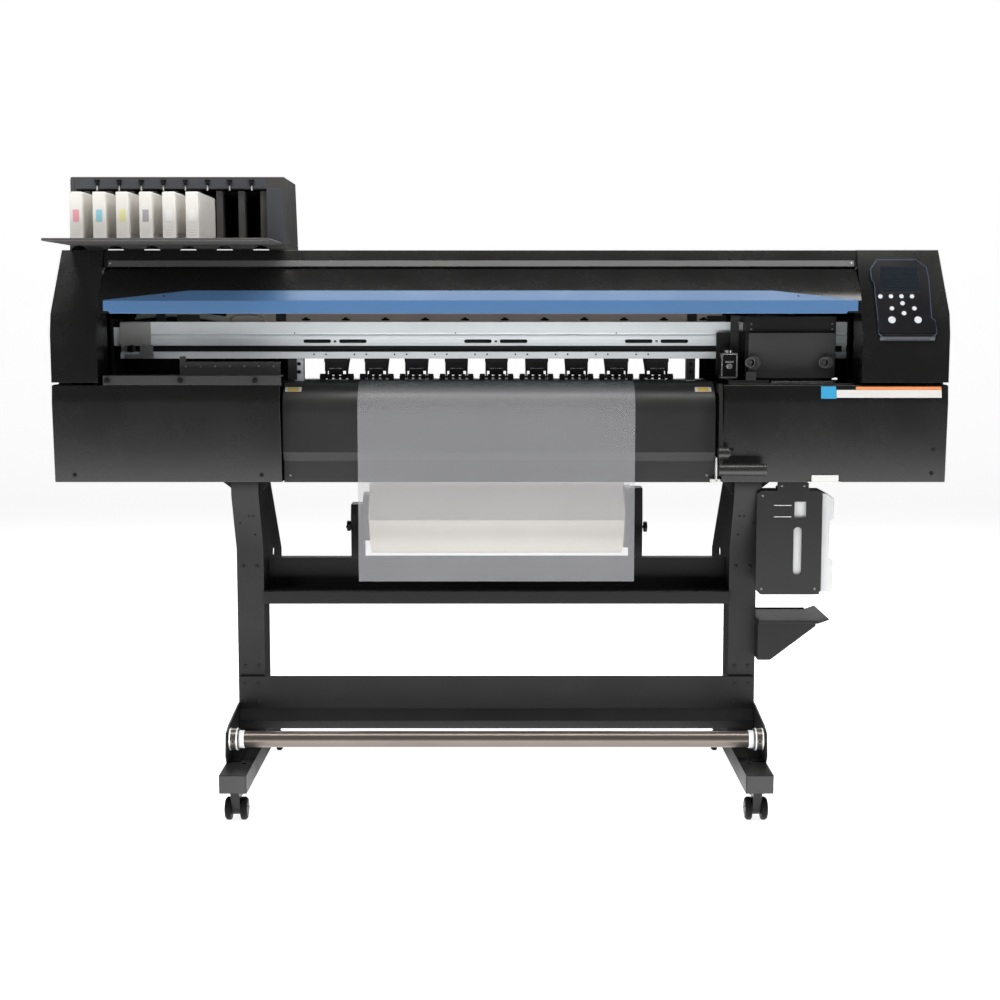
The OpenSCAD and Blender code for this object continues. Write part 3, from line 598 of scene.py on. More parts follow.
def make_plain_labels():
    """Plain stickers: their places are kept, and nothing is printed on them."""
    (x0, y0, _), (x1, _, _) = corners("lower_cover_right")

    def patch(a, b, low, high, finish, name):
        face = [(y0 + 8 * (z - 898) / 39, z) for z in (low, high)]
        points = [(face[0][0] - 0.35, low), (face[1][0] - 0.35, high), (face[1][0] + 0.2, high),
                  (face[0][0] + 0.2, low)]
        Shape().outline("x", a, b, points).done(name, "machine", finish, bevel=0.05, slot="cover_black")
    patch(x0 + 212, x0 + 245, 908, 934.5, "label_blue", "label_square")
    patch(x0 + 245.6, x1 - 20, 910, 927, "label_white", "label_band")
    patch(x0 + 288, x1 - 20, 927.5, 934, "label_orange", "label_band_top")
    for i, x in enumerate((-474, 430)):
        for finish, inset, lift in (("label_white", 0, 0.3), ("label_yellow", 6, 0.5)):
            arc = [(lift, math.radians(a)) for a in range(33 + inset // 3, 48 - inset // 3, 3)]
            skin = [(-95 - (70 + r) * math.sin(a), 872 + (70 + r) * math.cos(a)) for r, a in arc]
            under = [(-95 - 69.6 * math.sin(a), 872 + 69.6 * math.cos(a)) for _, a in reversed(arc)]
            Shape().outline("x", x + inset, x + 36 - inset, skin + under).done(
                f"apron_{finish}_{i + 1}", "machine", finish, bevel=0.03, slot="apron_grey")


def make_apron_details():
    """Bracket at the right end of the apron and the line of its lower screws."""
    (x0, y0, z0), (x1, _, _) = corners("front_apron")
    bracket = Shape().box((x1 + 1.5, y0 + 1, z0 + 2), (x1 + 4.5, y0 + 40, z0 + 56))
    bracket.box((x1 - 10, y0 + 1, z0 - 1), (x1 + 12, y0 + 14, z0 + 8))
    bracket.done("apron_end_bracket", "machine", "pale", bevel=0.6)
    line = [(x, y0 + 17, z0 + 16) for x in (x0 + 14, x1 - 16)]
    on_points("apron_screws", "machine", "zinc", screw_head(3), line)


# ---- control panel ----

def slope_point(x, up, out):
    """A point on the sloping front of the right tower, from X, the way up the slope and the way out of it."""
    (_, y0, _), (_, _, z1) = corners("tower_right")
    run, rise = 90.0, 185.0
    size = math.hypot(run, rise)
    return (x, y0 + up * run / size - out * rise / size, z1 - rise + up * rise / size + out * run / size)


def make_control_panel():
    """Display behind its pane, a ledge and foot under it, and the coloured outline round the panel."""
    def plate(points, out, thick, name, finish, bevel=0.5):
        Shape().loft([[slope_point(x, v, out) for x, v in points],
                      [slope_point(x, v, out + thick) for x, v in points]]
                     ).done(name, "machine", finish, bevel=bevel, slot="panel_black")
    plate([(835.6, 102.6), (917.4, 102.6), (917.4, 162.4), (835.6, 162.4)], 3.05, 0.6, "display", "glass", 0.2)
    plate([(843, 110), (910, 110), (910, 155), (843, 155)], 3.66, 0.15, "display_window", "glass", 0.05)
    plate([(835, 99), (918, 99), (909, 82), (844, 82)], 3.9, 0.7, "display_ledge", "panel_black")
    (_, y0, _), (_, _, z1) = corners("tower_right")
    crease = z1 - 185
    foot = Shape().outline("x", 824, 944, [(y0 - 3.4, crease + 1), (y0 - 3.0, crease - 6), (y0 + 0.6, crease - 13),
                                           (y0 + 1, crease + 1)])
    foot.done("panel_foot", "machine", "panel_black", bevel=0.6)
    edge = [(829.5, 179.5), (917, 179.5), (937.6, 160), (940.6, 128.6), (938.6, 38), (945.4, 33), (947.4, 8)]
    edge_left = [(821, 8), (822, 34), (819.8, 122.7), (814.6, 132.5), (814.6, 157), (829.5, 179.5)]
    path = [slope_point(x, v, 4.1) for x, v in edge]
    path += [(946, y0 - 3.2, crease + 2), (931, y0 - 1.6, crease - 11), (838, y0 - 1.6, crease - 11),
             (821, y0 - 3.2, crease + 2)]
    path += [slope_point(x, v, 4.1) for x, v in edge_left]
    Shape().tube(path, 1.0, 8).done("panel_outline", "machine", "navy", bevel=0)


# ---- rail, belt and what shows behind it ----

def make_rail_details():
    """End blocks, belt, slots and small holes filled with painted shade, raised ribs and screws of the rail."""
    (x0, y0, _), (x1, _, z1) = corners("y_rail")
    x0, z0 = x0 + 15, z1 - 82
    ribs = Shape().outline("x", x0 + 70, x1, [(y0 - 1.3, z1 - 37), (y0 - 1.3, z1 - 30.5), (y0 + 0.5, z1 - 30),
                                               (y0 + 0.5, z1 - 37.5)])
    ribs.outline("x", x0 + 70, x1, [(y0 - 1.0, z1 - 52.8), (y0 - 1.0, z1 - 49.6), (y0 + 0.5, z1 - 49),
                                    (y0 + 0.5, z1 - 53)])
    ribs.done("rail_ribs", "machine", "rail_metal", bevel=0.3)
    block = Shape().box((x0, y0 - 1.4, z1 - 52), (x0 + 69, y0 + 0.5, z1 - 1))
    block.box((x0 + 3, y0 - 1.6, z1 - 27), (x0 + 12, y0 + 0.5, z1 - 21))
    block.done("rail_end_block", "machine", "cast_grey", bevel=0.6)
    bracket = Shape().box((x0 + 10, y0 - 1.5, z0 + 1), (x0 + 75, y0 + 0.4, z0 + 10))
    bracket.box((x0 + 44, y0 - 1.6, z0 + 10), (x0 + 74, y0 + 6, z0 + 31))
    bracket.done("belt_clamp", "machine", "bright_steel", bevel=0.6)
    pulley = Shape().rod("z", (x0 + 26, y0 + 2), 11, z0 + 16, z0 + 28, 24, chamfer=0.8)
    pulley.rod("z", (x0 + 26, y0 + 2), 4, z0 + 14, z0 + 30, 16)
    pulley.done("belt_pulley", "machine", "frame_metal", bevel=0.2)
    belt = Shape().box((x0 + 26, y0 + 6.8, z0 + 15.6), (x1 - 10, y0 + 7.9, z0 + 28.4))
    belt.done("drive_belt", "machine", "frame_metal", bevel=0.1)
    # painted shade: black bars and discs stand in for the shade inside the rail's slots and holes
    rows("rail_slots", "machine", "black_and_hole_shade", slot_bar(62, 8, 0.5), (-410.5, y0, z1 - 43.2), (361, 0, 0), 3,
         (80, 0, 0), 2)
    rows("rail_slot_tabs", "machine", "bright_steel", slot_bar(7, 5.5, 1.0), (-370.5, y0, z1 - 43.6), (361, 0, 0), 3)
    rows("rail_lip_holes", "machine", "black_and_hole_shade", disc(1.9), (-418, y0, z0 + 9.5), (90.5, 0, 0), 9, (27, 0, 0), 2)
    rows("rail_face_holes", "machine", "black_and_hole_shade", disc(1.5), (-461, y0, z1 - 25), (361, 0, 0), 4)


def make_behind_rail():
    """Sheet-metal shelf behind the rail with its clips, ink tubes and a bent cable."""
    (_, y0, _), (_, _, z1) = corners("y_rail")
    y1 = y0 + 80
    shelf = Shape().outline("x", -640, 520, [(y1 + 26, z1 - 2), (y1 + 90, z1 + 14), (y1 + 126, z1 + 60),
                                              (y1 + 124, z1 + 60), (y1 + 89, z1 + 16), (y1 + 26, z1)])
    shelf.done("rear_shelf", "machine", "interior_brown", bevel=0.4)
    rows("shelf_clips", "machine", "black_and_hole_shade", Shape().box((-9, -6, 0), (9, 6, 5)).box((-4, -7, 3),
            (4, -2, 8)).solid(0.6),
         (-449, y1 + 44, z1 + 2), (92, 0, 0), 11)
    tubes = Shape()
    for i in range(5):
        tubes.tube([(-840 + 220 * t, y1 + 18 + 7 * i + 5 * math.sin(3 * t + i),
                     z1 + 6 + 2.2 * i + 7 * math.sin(4.2 * t))
                    for t in [k / 16 for k in range(17)]], 2.2)
    tubes.done("ink_tubes", "machine", "tube", bevel=0)
    loops = Shape()
    for i in range(3):
        loops.tube([(-585 + 44 * math.cos(a), y1 + 30 + 5 * i, z1 + 2 + (14 + 3 * i) * math.sin(a))
                    for a in [math.pi * k / 20 for k in range(21)]], 1.4)
    loops.done("ink_tube_loops", "machine", "pale", bevel=0)
    parts = Shape().box((-790, y1 + 12, z1 - 8), (-770, y1 + 30, z1 + 22)).box((-742, y1 + 12, z1 - 8),
            (-690, y1 + 18, z1 + 16))
    parts.box((-515, y1 + 14, z1), (-492, y1 + 24, z1 + 20)).box((430, y1 + 10, z1), (452, y1 + 24, z1 + 18))
    parts.box((476, y1 + 12, z1), (520, y1 + 22, z1 + 14))
    parts.done("rear_brackets", "machine", "strip_grey", bevel=0.6)


def make_platen_details():
    """Vacuum holes and the cutting line of the platen."""
    (x0, _, _), (x1, _, z1) = corners("platen")
    # painted shade: black pins stand in for the shade inside the vacuum holes
    hole = Shape().rod("z", (0, 0), 1.2, -0.2, 0.12, 10).solid()
    rows("vacuum_holes", "machine", "black_and_hole_shade", hole, (x0 + 14, -82, z1), (18, 0, 0), int((x1 - x0 - 20) / 18),
         (0, 14, 0), 3)
    rows("rear_vacuum_holes", "machine", "black_and_hole_shade", hole, (x0 + 14, 8, z1), (36, 0, 0), int((x1 - x0 - 20) / 36),
         (0, 22, 0), 2)
    line = Shape().box((x0 + 8, -46, z1 - 0.4), (x1 - 8, -44.2, z1 + 0.15))
    line.done("cutting_line", "machine", "black_and_hole_shade", bevel=0)


def make_pinch_details():
    """Springs, caps and pale levers of the nine pinch units."""
    low, high = corners("pinch_arms")
    first, pitch = low[0] + 25, (high[0] - low[0] - 50) / 8
    cap = Shape().box((-26, -55, 984), (26, -50, 996)).box((-22, -54.5, 966), (-8, -51, 982)).box((8, -54.5, 966),
            (22, -51, 982))
    cap.outline("x", -16, 16, [(-56, 960), (-50, 966), (-46, 962), (-50, 955)])
    rows("pinch_caps", "pinch_arms", "pinch_black", cap.solid(0.6), (first, 0, 0), (pitch, 0, 0), 9)
    bar = Shape().box((-15, -56.4, 968.5), (-4, -55, 971)).box((4, -56.4, 968.5),
                                                               (15, -55, 971)).box((-4, -55.4, 969),
                                                                                   (4, -54, 970.4))
    rows("pinch_levers", "pinch_arms", "bright_steel", bar.solid(0.3), (first, 0, 0), (pitch, 0, 0), 9)
    coil = Shape().tube([(5.5 * math.cos(a), -46 + 5.5 * math.sin(a), 972 + 1.25 * a) for a in
                         [k * math.pi / 5 for k in range(28)]], 0.9, 6)
    rows("pinch_springs", "pinch_arms", "bright_steel", coil.solid(), (first - 13, 0, 0), (pitch, 0, 0), 9,
         (26, 0, 0), 2)
    hub = Shape()
    (_, y0, z0), (_, y1, z1) = corners("pinch_rollers")
    for x in (-25, -7.5, 8, 23.5):
        hub.rod("x", ((y0 + y1) / 2, (z0 + z1) / 2), 3.4, x, x + 2, 14)
    rows("pinch_roller_hubs", "pinch_rollers", "bright_steel", hub.solid(0.2), (first, 0, 0), (pitch, 0, 0), 9)
    ends = Shape()
    for x in (corners("y_rail")[0][0] + 390, 420):
        ends.box((x, -52, 944), (x + 20, -50.2, 1004))
    ends.done("rail_strut_plates", "machine", "bar_grey", bevel=0.4)
    # painted shade: black discs stand in for the shade inside the strut plate holes
    on_points("rail_strut_holes", "machine", "black_and_hole_shade", disc(4),
              [(x, -52, z) for x in (-453, 430) for z in (962, 980)])


# ---- carriage and cutter ----

def make_carriage_details():
    """End plate, thumb screws in the rings, the cap at the lower left, top bracket and flat cable."""
    (x0, y0, _), (x1, _, _) = corners("carriage_cover")
    plate = Shape().box((x0 - 28, -74, 1004), (x0 - 10, -68, 1088)).box((x0 - 28, -80, 1080), (x0 - 6, -68, 1088))
    plate.done("carriage_end_plate", "carriage", "bar_grey", bevel=0.6)
    knobs = Shape()
    for x in (x0 + 9, x0 + 172):
        knobs.rod("y", (x, 985), 6, y0 + 4, y0 + 14, 24, chamfer=1)
        knobs.ring("y", (x, 985), 9, 11.5, y0 - 0.9, y0 + 1.5, 28)
    knobs.done("thumb_screws", "carriage", "strip_grey", bevel=0.3)
    block = Shape().box((x0 + 1, y0 + 4, 945.6), (x0 + 23, y0 + 11.5, 964)).rod("y", (x0 + 12, 955), 4, y0 + 2.6,
            y0 + 5, 16)
    block.done("carriage_stop", "carriage", "strip_grey", bevel=0.8)
    (cx0, _, _), (cx1, _, _) = corners("carriage")
    lid = Shape().box((cx0 + 66, -104, 1076), (cx1 - 6, -66, 1087.5)).box((cx0 + 90, -100, 1087),
            (cx1 - 40, -72, 1089.5))
    lid.done("carriage_lid", "carriage", "carriage_black", bevel=1.2)
    screws = [(x, -106, z) for x in (cx0 + 72, cx1 - 8) for z in (1058, 1070)]
    on_points("carriage_screws", "carriage", "zinc", screw_head(2.4), screws)
    cable = Shape().outline("y", -30, -4, [(x1 - 60 - 70 * math.sin(t) - 0.5, 1089 + 10 * (1 - math.cos(2 * t)))
                                           for t in [k * 0.16 for k in range(10)]] +
                            [(x1 - 60 - 70 * math.sin(t) + 0.5, 1088 + 10 * (1 - math.cos(2 * t)))
                             for t in [k * 0.16 for k in reversed(range(10))]])
    cable.done("head_flat_cable", "carriage", "label_white", bevel=0, slot="carriage_black")


def make_cutter_details():
    """Blade holder with its knurled cap, and the bright frame of the cutter head."""
    (x0, y0, z0), (x1, _, z1) = corners("cutter_head")
    middle = (x0 + x1) / 2
    frame_ring = Shape()
    for low, high in (((x0, z0 + 4), (x1, z0 + 7)), ((x0, z1 - 10), (x1, z1 - 7)), ((x0, z0 + 4), (x0 + 3, z1 - 7)),
                      ((x1 - 3, z0 + 4), (x1, z1 - 7))):
        frame_ring.box((low[0], y0 - 1.5, low[1]), (high[0], y0 + 0.4, high[1]))
    frame_ring.rod("y", (middle, z0 + 30), 6.5, y0 - 3, y0 + 0.4, 20, chamfer=1)
    frame_ring.box((middle - 9, y0 - 1.8, z0 + 38), (middle + 9, y0 + 0.4, z0 + 42))
    frame_ring.done("cutter_frame", "cutter", "bright_steel", bevel=0.5)
    blade = Shape().turned("z", (middle, y0 + 14), [(z0 + 0.4, 1.2), (z0 + 4, 5), (z0 + 5, 8.6), (z0 + 9, 8.6)], 20)
    blade.turned("z", (middle, y0 + 14), [(z1 - 8, 9), (z1 - 1, 9), (z1, 8)], 20)
    blade.done("blade_holder", "cutter", "bright_steel", bevel=0.2)


def make_capping_station():
    """Caps and wiper combs under the parked carriage."""
    top = corners("lower_cover_right")[1][2]
    base = Shape().box((603, -116, top + 0.3), (742, -72, top + 4))
    for x in (610, 655, 700):
        base.box((x, -108, top + 4), (x + 36, -80, top + 6.4))
    base.done("capping_station", "machine", "strip_grey", bevel=0.5)
    tooth = Shape().box((-1.6, -119, top + 0.5), (1.6, -116, top + 7)).solid(0.3)
    rows("wiper_comb", "machine", "bright_steel", tooth, (604, 0, 0), (5.2, 0, 0), 27)
    tray = Shape().box((506, -160, top + 0.2), (776, -122, top + 2.4)).box((506, -124, top + 2.4),
            (596, -121, top + 9))
    tray.done("station_tray", "machine", "bar_grey", bevel=0.5)


# ---- ink unit ----

PATCHES = ["ink_pink", "ink_cyan", "ink_yellow", "ink_black", "ink_plain", "ink_plain"]


def make_cartridge_details():
    """Colour patch, grip lines and side panel of each cartridge."""
    for i, patch in enumerate(PATCHES, 1):
        body = f"cartridge_{i}"
        (x0, y0, z0), (x1, y1, z1) = corners(body)
        label = Shape().box((x0 + 7, y0 - 0.25, z0 + 35), (x1 - 7, y0 + 0.3, z0 + 60))
        label.done(f"{body}_patch", body, patch, bevel=0.1, slot="cartridge_white")
        grip = Shape()
        for k in range(3):
            grip.box((x0 + 6, y0 - 0.5, z0 + 8 + 5 * k), (x1 - 6, y0 + 0.3, z0 + 10 + 5 * k))
        grip.box((x1 - 0.3, y0 + 12, z0 + 12), (x1 + 0.5, y1 - 40, z1 - 12))
        grip.box((x0 + 4, y0 + 4, z1 - 0.3), (x1 - 4, y0 + 60, z1 + 0.6))
        grip.done(f"{body}_ribs", body, "cartridge_white", bevel=0.2)


def make_ink_unit_details():
    """Pale bezel, hooks above the slots, inner back wall with its rails and the lamp strip."""
    (x0, y0, z0), (x1, y1, z1) = corners("ink_holder")
    bezel = Shape().outline("y", y0 - 1.4, y0 + 3, [(-515, z1 - 25), (-479, z1 - 25), (-475.5, 1244), (-515, 1244)])
    bezel.done("ink_bezel", "machine", "bezel_grey", bevel=0.8)
    frame_top = Shape().box((x0 + 26, y0 - 1.2, z1 - 25), (-516, y0 + 2, z1 - 4)).box((x0 + 5, y0 - 1.2, 1249),
            (x0 + 14, y0 + 2, z1 - 4))
    frame_top.done("ink_frame_top", "machine", "bezel_grey", bevel=0.6)
    hook = Shape().outline("x", -3, 3, [(0, 0), (-5, -3), (-5, -9), (0, -11)]).box((-5.5, -3, -2), (5.5, 1, 3))
    first, second = ((low[0] + high[0]) / 2 for low, high in (corners("cartridge_1"), corners("cartridge_2")))
    pitch = second - first
    step = (pitch, 0, 0)
    rows("slot_hooks", "machine", "black_and_hole_shade", hook.solid(0.5), (first, y0 - 1.2, z1 - 9), step, 8)
    tab = Shape().box((-1.3, -2, -14), (1.3, 0, 0)).solid(0.4)
    rows("slot_marks", "machine", "pale", tab, (first, y0 - 1.4, z1 - 16), step, 8)
    fin = Shape().box((-7, y0 + 6, 1249), (7, y1 - 8, 1362)).box((-9, y0 + 3, 1249), (9, y0 + 30, 1252))
    rows("slot_fins", "machine", "ink_grey", fin.solid(0.8), (first - pitch / 2, 0, 0), step, 9)
    back = Shape().box((-934, y1 - 8, 1250), (-517, y1 - 4.2, 1365)).box((-600, y0 + 70, 1352), (-524, y0 + 80, 1358))
    back.box((-620, y0 + 40, 1356), (-518, y0 + 60, 1362)).box((-590, y0 + 60, 1346), (-560, y0 + 64, 1358))
    back.done("slot_back_wall", "machine", "frame_metal", bevel=0.5)
    needle = Shape().rod("y", (0, 0), 2.2, y1 - 22, y1 - 8, 12).ring("y", (0, 0), 4, 8, y1 - 12, y1 - 8, 20)
    rows("ink_needles", "machine", "frame_metal", needle.solid(0.2), (first, 0, 1300), step, 8)
    edge = corners("ink_tray")
    on_points("ink_unit_screws", "machine", "zinc", screw_head(3),
              [(x1 + 0.2, y, z0 + 16) for y in (y0 + 20, y1 - 20)], (0, 0, 90))
    lamp = Shape().box((edge[0][0] + 30, edge[0][1] + 60, edge[1][2] - 0.2),
                       (edge[1][0] - 40, edge[0][1] + 62, edge[1][2] + 0.5))
    lamp.done("tray_stop_rib", "machine", "ink_grey", bevel=0.2)


# ---- stand ----

def both_sides(points):
    """Points and their mirror images about the middle of the stand."""
    middle = (corners("leg_left")[0][0] + corners("leg_right")[1][0]) / 2
    return points + [(2 * middle - x, y, z) for x, y, z in points]


def make_leg_details():
    """Screws, corner braces and end caps of the stand."""
    (x0, _, _), (x1, _, top) = corners("leg_left")
    flange = both_sides([(x0 + 35, -100, 640), (x0 + 45, -100, 640), (x0 + 14, -91.5, 623), (x0 + 45, -77.5, 595)])
    on_points("leg_flange_screws", "machine", "black_and_hole_shade", screw_head(2.6), flange, (26.6, 0, 0))
    low = both_sides([(x0 + 15, -60, 520), (x0 + 46, -60, 520), (x0 + 15, -60, 290), (x0 + 46, -60, 290),
                      (x0 + 15, -70, 250), (x0 + 46, -70, 250), (x0 + 15, -70, 208), (x0 + 46, -70, 208)])
    on_points("leg_screws", "machine", "frame_metal", screw_head(4.2), low)
    middle = (x0 + corners("leg_right")[1][0]) / 2
    brace = Shape()
    for side in (-1, 1):
        inner, outer = (middle + side * abs(x - middle) for x in (x1, x0))
        step = -side
        brace.outline("y", -100, -96, [(inner, top - 1), (inner + step * 27, top - 1), (inner, top - 34)])
        brace.outline("y", -96, 40, [(inner, top - 4), (inner + step * 27, top - 4), (inner + step * 27, top - 1),
                                     (inner, top - 1)])
        brace.outline("y", -110, -106, [(outer, top - 1), (outer - step * 25, top - 1), (outer, top - 20)])
    brace.done("leg_braces", "machine", "stand_paint", bevel=0.5)
    (fx0, fy0, fz0), (fx1, fy1, fz1) = corners("feet")
    caps = Shape()
    for side in (-1, 1):
        centre = middle + side * (fx1 - fx0 - 59) / 2
        for y, out in ((fy0, -1.6), (fy1, 1.6)):
            caps.box((centre - 28.3, min(y, y + out), fz0 + 1), (centre + 28.3, max(y, y + out), fz1 - 1))
        caps.box((centre - 26, -60, fz1 - 0.5), (centre + 26, 30, fz1 + 4))
    caps.done("foot_caps", "machine", "holder_black", bevel=1.2)
    base = both_sides([(x0 + 15, y, fz1 + 6.5) for y in (-50, 20)] + [(x0 + 46, y, fz1 + 6.5) for y in (-50, 20)])
    on_points("foot_bolts", "machine", "frame_metal", screw_head(4.5), base, (-90, 0, 0))


def make_bar_details():
    """Hub rings, grub screws and end caps of the take-up bar."""
    (x0, y0, z0), (x1, y1, z1) = corners("take_up_bar")
    axis = ((y0 + y1) / 2, (z0 + z1) / 2)
    rings = Shape()
    for x, way in ((x0 + 6.5, 1), (x1 - 6.5, -1)):
        rings.rod("x", axis, 24.6, x + way * 2, x + way * 5, 40)
        rings.rod("x", axis, 24.6, x + way * 17, x + way * 20, 40)
        rings.rod("x", axis, 19.6, x + way * 23, x + way * 34, 36, chamfer=0.6)
    rings.done("take_up_hub_rings", "take_up_bar", "rail_metal", bevel=0.3)
    on_points("take_up_grub_screws", "take_up_bar", "black_and_hole_shade", screw_head(2.4),
              [(x, y0, axis[1]) for x in (x0 + 17.5, x1 - 17.5)])
    places = [(x, y, z) for x in (x0 - 0.2, ) for y, z in ((-110, 140), (-110, 175), (-85, 190))]
    on_points("bracket_bolts_left", "machine", "frame_metal", screw_head(4), places, (0, 0, -90))
    on_points("bracket_bolts_right", "machine", "frame_metal", screw_head(4),
              [(x1 + 0.2, y, z) for _, y, z in places], (0, 0, 90))


def make_caster_details():
    """Hub discs and tread grooves of the wheels, and a brake pedal on each fork."""
    for i in range(1, 5):
        (x0, y0, z0), (x1, y1, z1) = corners(f"caster_wheels_{i}")
        axis = ((y0 + y1) / 2, (z0 + z1) / 2)
        hubs = Shape()
        for x, way in ((x0, 1), (x1, -1)):
            hubs.ring("x", axis, 6, 17, x - way * 0.8, x + way * 1.5, 32)
            for k in range(5):
                a = 2 * math.pi * k / 5
                hubs.rod("x", (axis[0] + 12 * math.cos(a), axis[1] + 12 * math.sin(a)), 2, x - way * 1.3, x, 12)
        hubs.done(f"wheel_hubs_{i}", f"caster_wheels_{i}", "caster_black", bevel=0.3)
        front = -1 if axis[0] < 0 else 1
        tip = axis[0] - front * 10
        pedal = Shape().outline("x", (x0 + x1) / 2 - 9, (x0 + x1) / 2 + 9,
                                [(tip - front * 14, 51), (tip - front * 26, 44), (tip - front * 27, 47),
                                 (tip - front * 14, 55)])
        pedal.done(f"caster_brake_{i}", f"caster_fork_{i}", "caster_black", bevel=0.8)


# ---- lever, waste bottle, side shelf and roll holders ----

def make_lever_details():
    (x0, _, _), (x1, _, _) = corners("clamp_lever")
    grip = Shape().rod("x", (-206, 754), 13.8, x1 - 8, x1 - 2, 30, chamfer=1).rod("x", (-206, 754), 9, x1 - 2,
            x1 + 1, 24, chamfer=1)
    for k in range(9):
        grip.ring("x", (-206, 754), 12.4, 13.4, x0 + 28 + 7 * k, x0 + 30.5 + 7 * k, 30)
    grip.rod("x", (-200, 790), 9, x0 + 20, x0 + 26, 24, chamfer=1)
    grip.done("lever_grip_rings", "clamp_lever", "lever_black", bevel=0.3)


def make_waste_details():
    """Two plain level marks, the filler cap, the drain tube and the bottle's seams."""
    (_, y0, _), _ = corners("waste_bracket")
    marks = Shape().box((610, y0 - 0.3, 667.2), (649, y0 + 0.3, 668.8)).box((610, y0 - 0.3, 641.5),
            (649, y0 + 0.3, 643.1))
    marks.done("level_marks", "machine", "pale", bevel=0)
    screws = [(x, y0, z) for x in (627, 677) for z in (712, )] + [(585, y0, 480), (704, y0, 480), (585, y0, 690)]
    on_points("waste_bracket_screws", "machine", "zinc", screw_head(2.8), screws)
    (bx0, by0, bz0), (bx1, _, bz1) = corners("waste_bottle")
    seam = Shape().box((bx0 + 20, by0 - 0.6, bz0 + 8), (bx1 - 30, by0 + 0.4, bz0 + 11)).box((bx1 - 0.6, by0 + 56,
            bz0 + 10), (bx1 + 0.7, by0 + 59, bz0 + 58))
    seam.box((bx1 - 0.6, by0 + 56, bz1 - 80), (bx1 + 0.7, by0 + 59, bz1 - 40))
    seam.done("bottle_seams", "waste_bottle", "bottle_white", bevel=0.3)
    cap = Shape().ring("z", (bx0 + 54, -68), 18, 24.5, bz1 - 11, bz1 - 1, 36)
    for k in range(18):
        a = 2 * math.pi * k / 18
        cap.rod("z", (bx0 + 54 + 24.4 * math.cos(a), -68 + 24.4 * math.sin(a)), 1.1, bz1 - 10, bz1 - 2, 8)
    cap.done("bottle_cap", "waste_bottle", "pale", bevel=0.3)
    drain = Shape().tube([(bx0 + 54, -68, bz1 + 0.8), (bx0 + 54, -67, bz1 + 8), (bx0 + 55, -66, bz1 + 22)], 6, 16)
    drain.done("drain_tube", "machine", "tube", bevel=0.2)


def make_shelf_details():
    (x0, y0, z0), (_, y1, _) = corners("side_shelf")
    on_points("shelf_screws", "machine", "zinc", screw_head(3.5), [(x0 + 3, y, z0 + 20) for y in (-70, 30)],
              (0, 0, 90))
    mat = Shape().box((x0 + 8, y0 + 8, 401.0), (x0 + 122, y1 - 8, 401.5))
    mat.done("shelf_mat", "machine", "frame_metal", bevel=0.2)


def make_roll_details():
    """Core ends, holder knobs and the scale on the rear tube."""
    for side, name in ((-1, "left"), (1, "right")):
        (x0, y0, z0), (x1, y1, z1) = corners("roll_holder_" + name)
        out = x0 if side < 0 else x1
        knob = Shape().rod("x", (y0 + 68, 575), 13, out - side * 10, out - side * 1, 28, chamfer=1.5)
        knob.ring("x", (y0 + 77, 600), 46, 52, out - side * 46, out - side * 43.5, 40)
        knob.done(f"roll_holder_knob_{name}", "roll_holder_" + name, "holder_black", bevel=0.5)
    (x0, y0, z0), (x1, y1, z1) = corners("media_roll")
    ends = Shape()
    for x, way in ((x0, 1), (x1, -1)):
        for k in range(5):
            ends.ring("x", ((y0 + y1) / 2, (z0 + z1) / 2), 48 + 8 * k, 49 + 8 * k, x + way * 4.4, x + way * 5.6, 64)
    # the end turns glow with the painted light of the wound film finish
    ends.done("roll_end_turns", "media_roll", "roll_film", bevel=0)
    (x0, y0, _), (x1, _, z1) = corners("roll_rail")
    rows("roll_rail_scale", "machine", "pale", Shape().box((-0.6, -0.25, -8), (0.6, 0.2, 0)).solid(),
         (x0 + 20, y0, z1 - 4), (20, 0, 0),
         int((x1 - x0 - 30) / 20))


# ---- rear of the body ----

